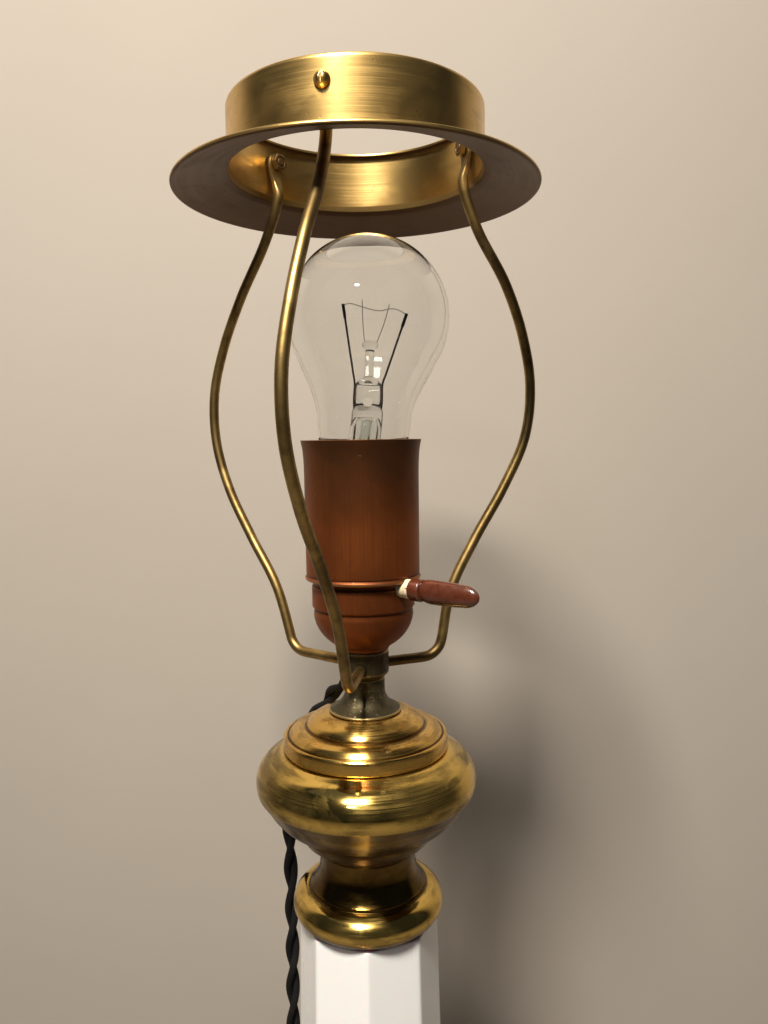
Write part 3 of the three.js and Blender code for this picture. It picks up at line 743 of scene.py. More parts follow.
cap_top = -157.3
cap_low = -184.3
cap_waist = [(18.75, cap_top), (18.5, -161.5), (19.3, -166.2), (21.2, -169.8), (22.1, -171)]
cap_outline = [
    (bore, cap_top), *flowing(cap_waist, 0.4), (22.4, -171.1), (22.4, -172.3), (23, -172.5),
    *arc((22.6, -178.6), 6.6, 6.2, 78, -55), (25.8, cap_low), (24, cap_low), (24.8, -178),
    (16.6, -168), (16.6, -159.3), (bore, -159.3),
]
# The band from -171.5 to -150 mm, under the vase, is darkened with painted shade.
cap = turned("column_collar", cap_outline, 144, above(rim), (-171.5, -150))
dress(cap, worn_brass, "polished_brass", "column_cap")

# ---- Vase and its cover --------------------------------------
# The vase is spun in brass, its belly rubbed bright over old scratches. The cover is turned with
# two steps, an upright skirt and a rolled edge, and has a duller, golden satin.
vase_low = cap_top + 0.3
vase_mouth = -117.5
vase_belly = (29.3, -129.3)
vase_outline = [
    (30, vase_mouth + 2.6), (30, vase_mouth), (32.4, vase_mouth), *arc(vase_belly, 13, 11.5, 66, -20),
    *arc((20.5, -124.4), 21.3, 24.5, -31, -70), (26.6, -148.2), (25.8, -148.7), (25.6, -150.2),
    (24.4, -152.8), (21.8, -155), (19.9, -156.1), (19.4, vase_low), (bore, vase_low),
    (bore, vase_low + 1.6), (18.6, vase_low + 1.6), (22.8, -151.6), (23.8, -148.8),
    *arc((20.5, -124.4), 20, 23.2, -66, -36),
    *arc(vase_belly, 11.7, 10.2, -20, 72), (28.7, vase_mouth - 1.6), (28.7, vase_mouth + 2.6),
]
# The band from -160 to -147 mm, the foot under the belly, is darkened with painted shade.
vase = turned("vase_spinning", vase_outline, 160, above(rim), (-160, -147))
dress(vase, worn_brass, "polished_brass", "vase_body")

cover_satin = metal("turned_satin_brass", (0.78, 0.49, 0.13), (0.36, 0.21, 0.06), 0.25,
                    marks=3.2, lathe=0.75)
cover_crown = flowing([(15, -103.5), (18.4, -104.5), (21.2, -106.2), (22.4, -107.6)], 0.4)
cover_step = flowing([(25, -108.9), (27.4, -109.6), (29.2, -111.2)], 0.4)
cover_outline = [
    (bore, -103.4), (14.4, -103.4), *cover_crown, (22.5, -108.7), (23, -108.9), *cover_step,
    (29.6, -112), (30, -111.7), (30.8, -111.6), (31.4, -112.2), (31.5, -113), (31.5, -116.6),
    (31.3, -117.2), (30.4, -117.2), (30.4, -114), (22, -111), (17, -107.4), (bore, -106),
]
cover = turned("vase_lid", cover_outline, 144, above(rim), ease=0.14)
dress(cover, cover_satin, "satin_brass", "vase_cover")

# ---- Neck, bush and hub --------------------------------------
# A cast brass neck flares out on the cover, and the hub above it takes the arms' ends. Both keep
# their dark olive casting skin, rubbed through in specks. The flex leaves by a rubber bush behind.
cord_height = -94.6
cord_angle = -150


def spoke(angle, height):
    """Lays what stands on Z along the direction at that angle round the lamp, in degrees.

    0 is the front, and it grows round the right-hand side. The height is from the rim.
    """
    cos, sin = math.cos(math.radians(angle)), math.sin(math.radians(angle))

    def place(grid):
        x, y, z = grid[..., 0], -grid[..., 2], grid[..., 1]
        return np.stack([x * cos - y * sin, x * sin + y * cos, z + height + rim], -1)
    return place


def drilled(piece, holes):
    """Drills round holes in a piece. Each hole is (radius, near, far, how the drill is placed)."""
    for radius, near, far, place in holes:
        outline = [(0, near), (radius, near), (radius, far), (0, far)]
        drill = turned("drill", outline, 36, place, ease=0.02, spacing=20)
        hole = piece.modifiers.new("hole", "BOOLEAN")
        hole.operation = "DIFFERENCE"
        hole.object = drill
        cut = piece.evaluated_get(bpy.context.evaluated_depsgraph_get())
        mesh = bpy.data.meshes.new_from_object(cut)
        piece.modifiers.clear()
        piece.data = mesh
        bpy.data.objects.remove(drill)
    piece.data.set_sharp_from_angle(angle=math.radians(40))
    return piece


def dark_brass():
    """Dark bronzed brass: an olive skin, ochre bloom in patches, and bright specks of wear."""
    f = Finish("dark_bronzed_brass", Metallic=0.85)
    bloom = f.mask(f.noise(150, 5, Distortion=0.8), 0.42, 0.68)
    specks = f.mask(f.noise(900, 4), 0.6, 0.68) * bloom
    drips = f.mask(f.stretched((420, 420, 90), 4), 0.5, 0.7)
    rubbed = f.mask(f.attribute("crest") + f.noise(500) * 0.6, 0.65, 1.1)
    olive = f.mix(drips * 0.6, (0.062, 0.05, 0.026), (0.024, 0.02, 0.012))
    ochre = f.mix(bloom * 0.55, olive, (0.13, 0.1, 0.05))
    colour = f.mix(rubbed * 0.7, f.mix(specks, ochre, (0.5, 0.4, 0.24)), (0.5, 0.36, 0.15))
    grain = f.noise(700, 5) + specks * 0.4
    return f.done(grain, 0.0001, Base_Color=colour, Roughness=0.5 - rubbed * 0.15)


bronzed = dark_brass()
neck_flare = flowing([(7.6, -95), (7.9, -96.8), (8.9, -98.8), (10.9, -100.8), (13.6, -102.3)], 0.4)
neck_outline = [
    (bore, -90.1), (7.6, -90.1), *neck_flare, (13.9, -102.6), (13.9, -103.1), (bore, -103.1),
]
outlet = spoke(cord_angle, cord_height)
neck = turned("outlet_neck", neck_outline, 96, above(rim), ease=0.14)
dress(drilled(neck, [(3.8, 3, 16, outlet)]), bronzed, "dark_brass", "cord_outlet_neck")

bush_outline = [(2.55, 5.8), (3.4, 5.8), (3.4, 9.6), (3.8, 9.6), (3.8, 10.3), (3.4, 10.6), (2.55, 10.6)]
bush = turned("flex_bush", bush_outline, 40, outlet, ease=0.12)
dress(bush, moulded("black_rubber", (0.014, 0.014, 0.014), 0.55), "black_plastic", "cord_bush")

arm_radius = 2
arm_socket = -85.6
arm_bend = 8
arm_heights = [-76, -60, -40, -20, 0, 20, 40, 60, 80, 96]
arms = {  # the angle at the hub, at the widest and at the gallery, and how far out each height is
    "front": ((-8, -15, -11), [36, 42, 54, 67, 75.5, 77, 72, 63, 49.3, 42.3]),
    "right": ((112, 112, 109), [33, 37, 48, 61, 71, 73.5, 69.5, 61, 48.3, 42.3]),
    "left": ((-128, -127, -131), [39.5, 46.5, 60.5, 73, 80, 80.5, 75, 65, 50.8, 42.3]),
}
hub_outline = [
    (bore, -79.4), (9, -79.4), (9.3, -79.8), (9.3, -88), (9, -88.5), (7.7, -89.8), (bore, -89.8),
]
hub = turned("hub_casting", hub_outline, 96, above(rim), ease=0.14)
sockets = [(arm_radius + 0.25, 5.9, 12, spoke(aim[0], arm_socket)) for aim, reach in arms.values()]
dress(drilled(hub, sockets), bronzed, "dark_brass", "arm_hub")

# ---- Arms ----------------------------------------------------
# Three lengths of brass rod, bent up from the hub by hand and bowed out round the bulb. The top
# of each is hammered flat and drilled for its screw. The rod has darkened unevenly.
screw_height = 109.5
screw_hole = 1.75
eye_reach = 43.55
eye_half_width = 3.6
eye_half_thickness = 0.95


def arm_line(aim, reach):
    """The middle line of an arm as (distance out, height, angle) blended between the three angles."""
    bend = arc((reach[0] - arm_bend, arm_socket + arm_bend), arm_bend, arm_bend, -90, -10, 5)
    lower = [(6.2, arm_socket), (reach[0] - 2 * arm_bend, arm_socket), *bend]
    upper = [*zip(reach[1:], arm_heights[1:]), (42.8, 100.5), (eye_reach, 105)]
    top = [(eye_reach, screw_height), (eye_reach, screw_height + eye_half_width)]
    out, height = np.array([*lower, *upper, *top]).T
    angle = aim[0] + (aim[1] - aim[0]) * smoothstep(height, -100, 0)
    angle = np.radians(angle + (aim[2] - angle) * smoothstep(height, 10, 96))
    return np.column_stack([out * np.sin(angle), -out * np.cos(angle), height])


def arm_skin(aim, reach):
    """A rod of round section whose top morphs into a flat eye with a round end.

    The section is |x/w|^n + |y/t|^n = 1. Above the last bend w grows, t shrinks and n rises from
    2 to 5, and past the screw w follows the circle of the eye.
    """
    path = evenly(flowing(arm_line(aim, reach), 0.5), 0.9)
    up = path[:, 2] - screw_height
    along = heading(path)
    angle = np.arctan2(path[:, 0], -path[:, 1])
    side = np.column_stack([np.cos(angle), np.sin(angle), 0 * angle])
    side -= along * np.sum(side * along, axis=1, keepdims=True)
    side /= np.linalg.norm(side, axis=1, keepdims=True)
    out = np.cross(along, side)
    flat = smoothstep(up, -13, -6)
    widening = smoothstep(up, -8.5, -0.5)
    width = arm_radius + 0.1 * flat + (eye_half_width - arm_radius - 0.1) * widening
    circle = np.sqrt(np.clip(eye_half_width ** 2 - np.clip(up, 0, None) ** 2, 0.02, None))
    width = np.where(up > 0, circle, width)
    thickness = arm_radius + (eye_half_thickness - arm_radius) * flat
    power = (2 + 3 * flat)[:, None]
    turn = once_round(28)
    x, y = np.cos(turn), np.sin(turn)
    unit = (np.abs(x) ** power + np.abs(y) ** power) ** (-1 / power)
    rows = path[:, None] + (width[:, None] * unit * x)[..., None] * side[:, None]
    rows = rows + (thickness[:, None] * unit * y)[..., None] * out[:, None]
    return (capped(rows) + (0, 0, rim)) * mm


def drawn_brass():
    """Drawn brass rod: draw lines along it, brown tarnish in bands, and bright wear."""
    f = Finish("drawn_brass_rod", Metallic=1)
    bands = f.mask(f.noise(26, 3, Distortion=0.4), 0.38, 0.62)
    mottle = f.noise(260, 4)
    worn = f.mask(f.noise(75, 5), 0.55, 0.7)
    aged = f.mix(bands, (0.42, 0.28, 0.1), (0.16, 0.105, 0.042))
    aged = f.mix(f.mask(mottle, 0.45, 0.7) * 0.5, aged, (0.07, 0.05, 0.02))
    colour = f.mix(worn * 0.6, aged, (0.55, 0.38, 0.14))
    lines = f.stretched((1900, 1900, 60), 2)
    gloss = 0.34 + mottle * 0.16 + bands * 0.05
    return f.done(lines + mottle * 0.4, 0.00002, Base_Color=colour, Roughness=gloss)


rod_brass = drawn_brass()
for name, (aim, reach) in arms.items():
    arm = surface(f"{name}_arm_rod", arm_skin(aim, reach), loops=(False,))
    arm = drilled(arm, [(screw_hole, 38, 49, spoke(aim[2], screw_height))])
    dress(arm, rod_brass, "satin_brass", f"arm_{name}")

# ---- Gallery -------------------------------------------------
# The ring that carries a shade: a turned collar with a lip inside its top, and a brim that falls
# away to a rolled edge. Three domed screws from outside hold the arms' eyes, with a nut inside.
collar_radius = 46.2
gallery_outline = [
    (43.2, 116.8), (43.3, 117.7), (43.7, 117.9), (44.9, 117.9), (45.8, 117.3), (collar_radius, 116.4),
    (collar_radius, 97.4), (46.6, 96.3), (48.2, 95.3), (56, 93.2), (64.4, 90.8), (65.6, 90.3),
    (66, 89.6), (65.8, 89), (65, 88.8), (56, 91.6), (48, 94), (46, 95.2), (45.2, 97.2), (45.2, 115.6),
    (44.8, 116.5), (44.4, 116.8),
]
# under=0.97 paints shade on nearly all of its undersides, the brim's among them.
satin_brass = metal("satin_brass", (0.68, 0.45, 0.155), (0.36, 0.23, 0.085), 0.35, patches=0.2,
                    marks=0.5, spread=0.08, under=0.97, lathe=0.35)
gallery = turned("gallery_spinning", gallery_outline, 192, above(rim), ease=0.16)
screw_holes = [(screw_hole, 43, 49, spoke(aim[2], screw_height)) for aim, reach in arms.values()]
dress(drilled(gallery, screw_holes), satin_brass, "satin_brass", "gallery_ring")

head_seat = collar_radius + 0.1
slot_floor = head_seat + 1.75
nut_low, nut_high = 40.1, 42.3


def driver_slot(grid):
    """Presses a screwdriver slot, 0.6 mm wide and deep, across the top of a domed head."""
    x, y, z = np.moveaxis(grid, -1, 0)
    inside = (1 - smoothstep(np.abs(x), 0.22, 0.42)) * smoothstep(z, head_seat + 0.9, head_seat + 1.3)
    return np.stack([x, y, z + (np.minimum(z, slot_floor) - z) * inside], -1)


def six_sides(grid):
    """Draws a nut in to a hexagon: the radius (sum of cos^40)^(-1/40) times the flats' distance."""
    x, y, z = np.moveaxis(grid, -1, 0)
    radius, angle = np.hypot(x, y), np.arctan2(x, -y)
    facing = np.cos(angle[..., None] - np.pi / 3 * np.arange(6))
    hexagon = np.sum(np.clip(facing, 0, 1) ** 40, -1) ** (-1 / 40)
    share = 1 + (hexagon - 1) * smoothstep(radius, 2, 2.6)
    return np.stack([x * share, y * share, z], -1)


head_outline = [
    *arc((0, head_seat - 0.2), 2.7, 2.45, 90, 5, 24), (2.6, head_seat), (1.5, head_seat), (1.5, 40.2),
    (1.2, 40), (0, 40),
]
nut_outline = [
    (1.85, nut_low), (2.4, nut_low), (2.85, nut_low + 0.3), (2.85, nut_high), (1.85, nut_high),
]
for number, (aim, reach) in enumerate(arms.values(), 1):
    place = spoke(aim[2], screw_height)
    screw = turned(f"gallery_screw_{number}_domed", head_outline, 72,
                   lambda grid: place(driver_slot(grid)), ease=0.08, spacing=0.3)
    dress(screw, satin_brass, "satin_brass", f"gallery_screw_{number}")
    nut = turned(f"gallery_nut_{number}_pressed", nut_outline, 72,
                 lambda grid: place(six_sides(grid)), ease=0.06)
    dress(nut, satin_brass, "satin_brass", f"gallery_nut_{number}")

# ---- Lampholder ----------------------------------------------
# A brass shell with a flared lip slides over a domed cap, and both have a copper-brown satin
# lacquer that has worn at the lip and the rolled beads. A fibre sleeve lines the shell.


def walled(outline, wall):
    """Closes an open outline with a second one, a wall's thickness nearer the axis."""
    line = evenly(np.array(outline, float), 0.3)
    along = heading(line)
    inner = line + np.column_stack([along[:, 1], -along[:, 0]]) * wall
    return [*map(tuple, line), *map(tuple, inner[::-1])]


def copper_lacquer():
    """Copper-brown lacquer on brass: brushed downwards, darker in clouds and worn on its edges.

    Towards the top the bulb's heat has smoked it.
    """
    f = Finish("copper_brown_lacquer", Metallic=0.78, Specular_IOR_Level=0.3)
    brushed = f.lathe_noise(30, 90, 4)
    fine = f.lathe_noise(60, 420, 3)
    clouds = f.noise(34, 5, Distortion=0.5)
    grime = f.mask(f.attribute("crest") * -1 + f.noise(300) * 0.4, 0.45, 0.9)
    rub = f.mask(f.attribute("crest") + f.noise(420, 4) * 0.55, 0.98, 1.2)
    nicks = f.mask(f.noise(260, 6), 0.7, 0.74)
    warm = f.mix(f.mask(clouds, 0.35, 0.65), (0.27, 0.074, 0.018), (0.16, 0.043, 0.011))
    streaked = f.mix(f.mask(brushed, 0.4, 0.7) * 0.35, warm, (0.09, 0.027, 0.009))
    smoked = f.mask(f.height() + clouds * 0.03, (rim - 25) * mm, (rim + 14) * mm)
    streaked = f.mix(smoked * 0.75, streaked, (0.05, 0.026, 0.011))
    colour = f.mix(grime * 0.6, streaked, (0.02, 0.01, 0.006))
    colour = f.mix(rub * 0.4 + nicks * 0.2, colour, (0.55, 0.3, 0.13))
    gloss = 0.4 + fine * 0.16 - rub * 0.1
    return f.done(brushed * 0.5 + fine * 0.5, 0.00002, Base_Color=colour, Roughness=gloss)


lacquer = copper_lacquer()
key_height = -54
key_angle = 50
key_hole = [(3.9, 15, 26, spoke(key_angle, key_height))]
shell_outline = [
    (22.55, 0), *flowing([(22.3, -1.2), (21.9, -3.4), (21.6, -7), (21.45, -12)], 0.4), (21.4, -49.7),
    (21.1, -50.1), (21.5, -50.5), (21.8, -50.9), (21.8, -51.5), (21.4, -51.95), (21.1, -52),
]
shell = turned("lampholder_sleeve", walled(shell_outline, 0.75), 144, above(rim), ease=0.12)
dress(drilled(shell, key_hole), lacquer, "copper", "lampholder_shell")
dome = (0, -64.4)
cap_shell_outline = [
    (18.8, -48), (18.8, -54), (19.2, -54.2), (19.4, -54.6), (19.4, -62.1), (19.1, -62.5),
    (18.7, -62.8), (18.6, -63.4), *arc(dome, 18.9, 15.6, -3, -58), (9.4, -78.9), (9.1, -79.1),
    (bore, -79.1), (bore, -77.5), (8, -77.5), *arc(dome, 18, 14.7, -62, -2), (18, -62), (18, -48),
]
cap_shell = turned("lampholder_dome", cap_shell_outline, 144, above(rim), ease=0.13)
dress(drilled(cap_shell, key_hole), lacquer, "copper", "lampholder_cap")


def pressed_fibre():
    """Grey-brown vulcanised fibre: felted strands along the sheet and a scuffed cut edge."""
    f = Finish("pressed_fibre", Specular_IOR_Level=0.25)
    strands = f.lathe_noise(900, 30, 5)
    scuff = f.mask(f.noise(300, 5), 0.45, 0.7)
    colour = f.mix(strands, (0.2, 0.13, 0.075), (0.34, 0.25, 0.16))
    colour = f.mix(scuff * 0.4, colour, (0.45, 0.38, 0.28))
    return f.done(strands + scuff, 0.00008, Base_Color=colour, Roughness=0.7 + strands * 0.2)


fibre = pressed_fibre()
sleeve_outline = [(19.4, -47.5), (20.2, -47.5), (20.2, -2.2), (20, -2), (19.6, -2), (19.4, -2.2)]
sleeve = turned("fibre_liner", sleeve_outline, 112, above(rim), ease=0.08)
dress(sleeve, fibre, "fibre", "insulating_sleeve")
refinish(fibre, "core_wire_1", "switch_rotor")

# ---- Screw shell and porcelain -------------------------------
# The nickelled screw shell is pressed with an Edison thread and sits on a glazed porcelain
# insert, which holds the sprung contact, the switch and the two terminal screws.
thread_pitch = 3.63
thread_depth = 0.3


def thread(low, high):
    """Presses an Edison thread into a wall: the radius swings by a sine of (height / pitch - turn)."""
    def place(grid):
        x, y, z = np.moveaxis(grid, -1, 0)
        turn = np.arctan2(x, -y) / (2 * np.pi)
        swing = thread_depth * np.sin(2 * np.pi * (z / thread_pitch - turn))
        swing = swing * smoothstep(z, low, low + 1.5) * (1 - smoothstep(z, high - 1.5, high))
        share = 1 + swing / np.hypot(x, y)
        return np.stack([x * share, y * share, z + rim], -1)
    return place


screw_low, screw_high = -27.3, -6.6
screw_shell = turned(
    "screw_shell_pressing",
    [(14.1, screw_high), (14.6, screw_high), (14.6, screw_low), (14.1, screw_low)],
    120, thread(screw_low, screw_high), ease=0.1, spacing=0.4)
dress(screw_shell, nickel, "nickel", "screw_shell")


def glazed_porcelain():
    """Cream glazed porcelain: a glossy glaze with iron specks, a fine craze and brown dust."""
    f = Finish("glazed_porcelain", Coat_Weight=0.3, Coat_Roughness=0.15)
    settings = {"feature": "DISTANCE_TO_EDGE"}
    craze = f.node("TexVoronoi", settings, {"Vector": f.place, "Scale": 420}, "Distance")
    crack = 1 - f.mask(craze, 0, 0.05)
    specks = f.spots(700, 0.12) * f.mask(f.noise(200), 0.5, 0.62)
    stain = f.mask(f.noise(220, 5), 0.48, 0.72)
    cream = f.mix(stain * 0.6, (0.78, 0.68, 0.46), (0.5, 0.36, 0.18))
    colour = f.mix(specks * 0.7, f.mix(crack * 0.4, cream, (0.36, 0.25, 0.13)), (0.12, 0.07, 0.03))
    return f.done(f.noise(600) - crack * 0.6, 0.00008, Base_Color=colour, Roughness=0.25 + stain * 0.25)


porcelain = glazed_porcelain()
refinish(porcelain, "porcelain_insert")
refinish(satin_brass, "terminal_screw_1", "terminal_screw_2", "contact_spring")
refinish(moulded("black_core_rubber", (0.02, 0.02, 0.02), 0.6), "core_wire_2")

# ---- Switch key ----------------------------------------------
# The key is a red-brown bakelite paddle moulded on a round collar. It turns in a porcelain bush,
# chipped at its rim, and drives the rotor inside.
paddle_thinness = 0.62
paddle_line = [(27.9, 3.3), (28.8, 3.45), (30, 4.1), (31.6, 4.4), (37, 4.4), (42, 4.25), (46, 3.95)]
paddle_tip = arc((46, 0), 6.2, 3.95, 90, 2, 24)


def bakelite():
    """Red-brown bakelite: swirled in the mould, glossy on top and dulled by fingers along its sides."""
    f = Finish("red_brown_bakelite", Coat_Weight=0.6, Coat_Roughness=0.1, Specular_IOR_Level=0.5)
    swirl = f.noise(130, 5, Distortion=1.6)
    dull = f.mask(f.noise(220, 4), 0.45, 0.7)
    scratches = f.mask(f.stretched((2600, 500, 2600), 2), 0.62, 0.7)
    body = f.mix(f.mask(swirl, 0.3, 0.9), (0.085, 0.02, 0.008), (0.05, 0.012, 0.006))
    colour = f.mix(dull * 0.1 + scratches * 0.1, body, (0.2, 0.08, 0.045))
    height = f.noise(1200) * 0.4 - scratches * 0.5
    return f.done(height, 0.00004, Base_Color=colour, Roughness=0.22 + dull * 0.22)


def paddle_skin():
    """Ellipses along the key: half-height from the outline, half-thickness 0.62 of it."""
    line = evenly(np.concatenate([flowing(paddle_line, 0.3), paddle_tip[1:]]), 0.25)
    out, half = line[:, :1], line[:, 1:]
    turn = once_round(64)
    x, y = half * paddle_thinness * np.cos(turn), half * np.sin(turn)
    return capped(np.stack([x, y, np.broadcast_to(out, x.shape)], -1))


key_collar = [
    (0, 4.4), (1.6, 4.4), (1.6, 23.6), (3.7, 23.6), (4.1, 24.1), (4.1, 28.1), (3.7, 28.6), (0, 28.6),
]
key_place = spoke(key_angle, key_height)
collar_points = eased(key_collar, False, ease=0.16)[0]
key_parts = [key_place(grid) * mm for grid in (round_axis(collar_points, 64), paddle_skin())]
key = surface("key_moulding", *key_parts, loops=(False,))
dress(key, bakelite(), "bakelite", "switch_key", body="switch")


def chipped(grid):
    """Breaks the rim of the bush: small bites of uneven depth, from a sum of sines round it."""
    x, y, z = np.moveaxis(grid, -1, 0)
    angle = np.arctan2(x, -y)
    bite = np.sin(3 * angle + 0.8) + 0.7 * np.sin(7 * angle) + 0.4 * np.sin(17 * angle) - 0.7
    shift = 0.45 * np.clip(bite, 0, None) * smoothstep(z, 21.6, 23.2)
    return key_place(np.stack([x, y, z - shift], -1))


key_bush_outline = [(1.95, 18), (3.5, 18), (3.55, 22.7), (3.3, 23.2), (2.8, 23.35), (1.95, 23.3)]
key_bush = turned("key_bush_glazed", key_bush_outline, 96, chipped, ease=0.12, spacing=0.3)
dress(key_bush, porcelain, "porcelain", "switch_bush")

# ---- Bulb ----------------------------------------------------
# A clear sixty-millimetre bulb: a blown envelope on a threaded cap, and inside it the pressed
# glass stem with its pump tube, two leads, two fine supports and the coiled filament. It leans a
# little in its holder.
bulb_centre = 44.5
bulb_radius = 30
bulb_wall = 0.6
bulb_lean = 3.2  # degrees
lean_height = -15


def leaning(piece, material, slot, *nodes):
    """Dresses a piece of the bulb and leans it to the right about the middle of its cap."""
    pivot = Matrix.Translation((0, 0, (rim + lean_height) * mm))
    piece.data.transform(pivot @ Matrix.Rotation(math.radians(bulb_lean), 4, "Y") @ pivot.inverted())
    return dress(piece, material, slot, *nodes, body="bulb")


def clear_glass(name, tint, dusty):
    """Clear blown glass with a faint tint, dulled in clouds by a film of dust and finger marks."""
    f = Finish(name, Transmission_Weight=1, IOR=1.45, Specular_IOR_Level=0.5)
    film = f.mask(f.noise(45, 5, Distortion=0.7), 0.5, 0.75)
    marks = f.mask(f.noise(420, 4), 0.62, 0.72)
    colour = f.mix(film * 0.5 + marks * 0.2, tint, tuple(part * 0.94 for part in tint))
    gloss = (film + marks * 0.5) * dusty + 0.004
    return f.done(f.noise(26, 2), 0.0002, Base_Color=colour, Roughness=gloss)


def bulb_line(wall):
    """The bulb's outline from its open foot to its crown, drawn in by the wall."""
    neck = [(12.1, -9), (12.3, -5.2), (14.6, -3), (16.4, -1)]
    shaded_band = [(17.2, 3), (18, 11), (20.4, 18), (24.1, 25.4)]
    ball = arc((0, bulb_centre), bulb_radius, bulb_radius, -30, 90, 60)
    line = np.concatenate([flowing([*neck, *shaded_band, *ball[:3]], 0.4), ball[3:]])
    along = heading(line)
    line = line + np.column_stack([-along[:, 1], along[:, 0]]) * wall
    line[-1, 0] = 0
    return [*map(tuple, line)]


outer_glass, inner_glass = bulb_line(0), bulb_line(bulb_wall)
bulb_outline = [*inner_glass[::-1], *outer_glass]
bulb = turned("bulb_envelope", bulb_outline, 160, above(rim), ease=0.1)
leaning(bulb, clear_glass("clear_bulb_glass", (0.98, 0.985, 0.98), 0.05), "clear_glass", "bulb_glass")

bulb_cap_outline = [
    (12.6, -5.4), (13.1, -5.4), (13.1, -6.4), (13, -7), (13, -23.8), (12.6, -24.8), (9.4, -27),
    (9, -26.6), (12.1, -24.4), (12.6, -23.4), (12.6, -7),
]
bulb_cap = turned("bulb_cap_pressing", bulb_cap_outline, 120, thread(-23.8, screw_high),
                  ease=0.09, spacing=0.4)
leaning(bulb_cap, nickel, "nickel", "bulb_cap")
refinish(nickel, "bulb_contact")
refinish(moulded("black_glass", (0.012, 0.012, 0.016), 0.15), "bulb_insulator")


def off_centre(height):
    """How far the stem and its wires stand off the bulb's axis at a height, in mm."""
    return 1.2 * smoothstep(height, -6, 10)


def flattened(low, high, share):
    """Presses a turned stem flat between two heights: y shrinks and x grows by the share."""
    def place(grid):
        x, y, z = np.moveaxis(grid, -1, 0)
        press = share * smoothstep(z, low - 2.5, low + 1) * (1 - smoothstep(z, high - 1, high + 1.5))
        return np.stack([x * (1 + press * 0.35) + off_centre(z), y * (1 - press), z + rim], -1)
    return place


press_low, press_high = 13, 21
pump_height = 14.2
stem_outline = [
    (0, 9), (3.6, 8.2), (4.6, 5), (5, 0), (6.6, -3.6), (9.6, -7), (10.5, -7), (7.6, -3.4), (6, 0),
    (5.8, 10.6), (4.3, press_low), (4.3, press_high), (3.4, 22.6), (1.7, 23.4), (1.6, 32.8),
    (2.2, 33.6), (3, 34.4), (3, 35.6), (2.2, 36.4), (0, 36.6),
]
stem = turned("bulb_stem_pressed", stem_outline, 64, flattened(press_low, press_high, 0.45), ease=0.2)
pump_shift = (off_centre(pump_height), 0, 0)
pump_hole = [(1.9, -7, 7, lambda grid: spoke(0, pump_height)(grid) + pump_shift)]
stem_glass = clear_glass("clear_stem_glass", (0.95, 0.97, 0.96), 0.08)
leaning(drilled(stem, pump_hole), stem_glass, "clear_glass", "bulb_stem")
pump_tube_outline = [(1.5, -6.5), (2.1, -6.5), (2.1, 7.4), (1.5, 7.4)]
pump_tube = turned("bulb_pump_tube", pump_tube_outline, 48, flattened(press_low, press_high, 0),
                   ease=0.12)
leaning(pump_tube, stem_glass, "clear_glass")


def wire_skin(points, radius, sides=10, step=0.3, tip=0.0):
    """A round wire along a smooth line through the points, measured in mm from the rim.

    Its last 5 mm are thicker by tip, where a lead is folded over the filament's end.
    """
    path = evenly(flowing(points, step / 2), step)
    side, up = carried(path)
    turn = once_round(sides)[None, :, None]
    to_end = step * np.arange(len(path))[::-1]
    thickness = (radius + tip * (1 - smoothstep(to_end, 4.5, 5.5)))[:, None, None]
    rows = path[:, None] + thickness * (np.cos(turn) * side[:, None] + np.sin(turn) * up[:, None])
    return (capped(rows) + (0, 0, rim)) * mm


def lead_wire(name):
    """Grey oxidised wire, red with copper oxide where it passes through the glass."""
    f = Finish(name, Metallic=0.7)
    red = 1 - f.mask(f.height() + f.noise(400) * 0.004, (rim + 20) * mm, (rim + 24) * mm)
    grey = f.mix(f.noise(500, 5), (0.05, 0.045, 0.042), (0.14, 0.125, 0.115))
    colour = f.mix(red, grey, (0.2, 0.055, 0.03))
    return f.done(f.noise(2200), 0.00001, Base_Color=colour, Roughness=0.38 + red * 0.2)


leads = lead_wire("oxidised_lead_wire")
tungsten = lead_wire("grey_tungsten")
lead_tips = [(-9.4, 49.4), (14.2, 46.9)]
lead_shares = (0, 0.15, 0.4, 0.8, 1)  # where the slant of a lead has its points
support_lines = [[(-0.9, 36), (-1.8, 43), (-2.4, 51.4)], [(3.6, 36), (6, 43), (7.7, 50)]]
for number, (side, tip, line) in enumerate(zip((-1, 1), lead_tips, support_lines), 1):
    seal = off_centre(press_high) + side * 5.2
    root = [(off_centre(0) + side * 4.2, 0, -5), (off_centre(8) + side * 4.5, 0, 6), (seal, 0, 14)]
    start = np.array([seal, 0, press_high])
    slant = [start + (np.array([tip[0], 0, tip[1]]) - start) * share for share in lead_shares]
    skin = wire_skin([*root, *slant], 0.4, tip=0.2)
    lead = surface(f"bulb_lead_{number}_drawn", skin, loops=(False,))
    leaning(lead, leads, "nickel", f"bulb_lead_{number}")
    route = [(x, 0.25, z) for x, z in line]
    support = surface(f"filament_support_{number}_wire", wire_skin(route, 0.13, 6), loops=(False,))
    leaning(support, tungsten, "steel", f"filament_support_{number}")

coil_radius = 0.2
coil_pitch = 0.45
coil_step = 0.04
filament_points = [
    (-9.2, 0, 49), (-7, 0, 49.7), (-2, 0, 48.6), (2, 0, 47.7), (5, 0, 47.6), (8, 0, 48.4),
    (11, 0, 48.1), (14, 0, 46.6),
]
filament_line = evenly(flowing(filament_points, 0.2), coil_step)
filament_side, filament_up = carried(filament_line)
filament_turn = (2 * np.pi * coil_step / coil_pitch * np.arange(len(filament_line)))[:, None]
filament_coil = filament_line + coil_radius * (
    np.cos(filament_turn) * filament_side + np.sin(filament_turn) * filament_up)
filament = surface("bulb_filament_coil", wire_skin(filament_coil, 0.07, 6, 0.08), loops=(False,))
leaning(filament, tungsten, "steel", "bulb_filament")

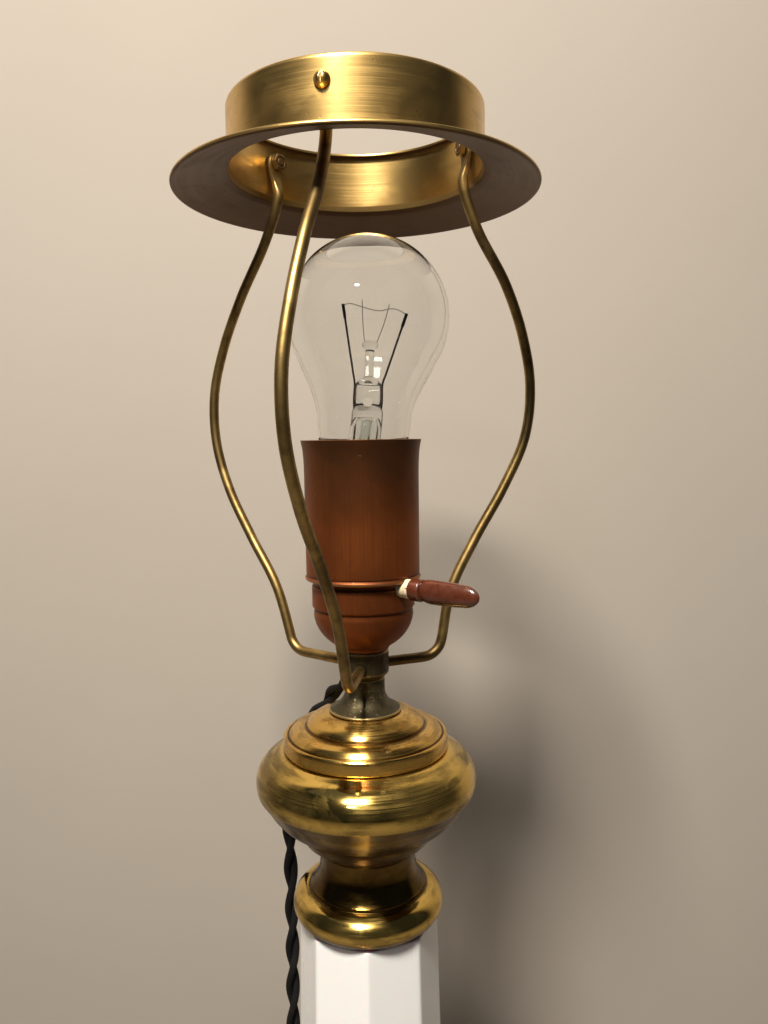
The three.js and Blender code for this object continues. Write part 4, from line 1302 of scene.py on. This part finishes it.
# ---- Floor, backdrop and light -------------------------------
# A pale floor that curves up into a wall behind the lamp. The wall has no back and casts no shadow,
# so that it hides nothing from behind. A warm lamp high at the front left throws the highlights
# and the shadow, a cool window lies beside it, and two soft lights fill in.
wall_distance = 0.2
wall_curve = 0.02
wall_height = 1.6
floor_reach = 2.5


def sweep():
    """The floor and wall as one sheet: straight, a quarter circle, and straight up."""
    angle = np.radians(np.linspace(0, 90, 33))[1:-1]
    curve_y = wall_distance - wall_curve + wall_curve * np.sin(angle)
    curve_z = wall_curve * (1 - np.cos(angle))
    floor_y = np.linspace(-floor_reach, wall_distance - wall_curve, 12)
    y = np.concatenate([floor_y, curve_y, [wall_distance] * 2])
    z = np.concatenate([0 * floor_y, curve_z, [wall_curve, wall_height]])
    x = np.array([-floor_reach, floor_reach])
    corners = np.stack(np.broadcast_arrays(x[None], y[:, None], z[:, None]), -1).reshape(-1, 3)
    row = np.arange(len(y) - 1)[:, None] * 2
    mesh = bpy.data.meshes.new("backdrop")
    mesh.from_pydata(corners.tolist(), [], (row + [0, 1, 3, 2]).tolist())
    mesh.shade_smooth()
    piece = bpy.data.objects.new("backdrop", mesh)
    bpy.context.scene.collection.objects.link(piece)
    return piece


def one_sided_paper():
    """Pale warm paper, a shade darker on the floor, that is clear where it is seen from its back."""
    f = Finish("pale_paper", Roughness=0.9, Specular_IOR_Level=0.1)
    floor_shade = f.mask(f.height(), wall_curve * 1.4, wall_curve * 0.1)
    paper = f.mix(f.noise(9, 3), (0.36, 0.32, 0.28), (0.385, 0.345, 0.30))
    f.done(Base_Color=f.mix(floor_shade, paper, (0.2, 0.18, 0.16)))
    back = f.node("NewGeometry", out="Backfacing")
    clear = f.node("BsdfTransparent")
    both = f.node("MixShader", {}, {0: back, 1: Wire(f, f.shader), 2: clear})
    f.tree.links.new(both.socket, f.tree.nodes["Material Output"].inputs["Surface"])
    return f.material


backdrop = sweep()
backdrop.data.materials.append(one_sided_paper())
backdrop.visible_shadow = False


def lit(name, place, target, power, colour, **settings):
    """A flat light at a place, facing a target, with its own size and shape."""
    data = bpy.data.lights.new(name, "AREA")
    data.energy = power
    data.color = colour
    for setting, value in settings.items():
        setattr(data, setting, value)
    light = bpy.data.objects.new(name, data)
    facing = (Vector(target) - Vector(place)).to_track_quat("-Z", "Y")
    light.matrix_world = Matrix.Translation(place) @ facing.to_matrix().to_4x4()
    bpy.context.scene.collection.objects.link(light)


lit("key", (-0.2, -0.66, 1.4), (-0.05, 0, 0.45), 16.5, (1, 0.93, 0.82),
    shape="RECTANGLE", size=0.3, size_y=0.2, spread=math.radians(120))
lit("window", (-0.29, -1.01, 1.236), (0, 0, 0.45), 1.2, (0.72, 0.82, 1),
    shape="RECTANGLE", size=0.16, size_y=0.08)
lit("back", (0.6, 1.3, 1.3), (0, 0, 0.25), 2.4, (0.95, 0.97, 1), size=0.8)
lit("overhead", (-0.3, -0.2, 2.2), (0, 0, 0.2), 0.8, (0.8, 0.88, 1), size=1.6)
bpy.context.scene.view_settings.view_transform = "Standard"
world = bpy.data.worlds.new("soft_room")
bpy.context.scene.world = world
world.use_nodes = True
sky = world.node_tree.nodes["Background"]
sky.inputs["Color"].default_value = (0.75, 0.84, 1, 1)
sky.inputs["Strength"].default_value = 0.028
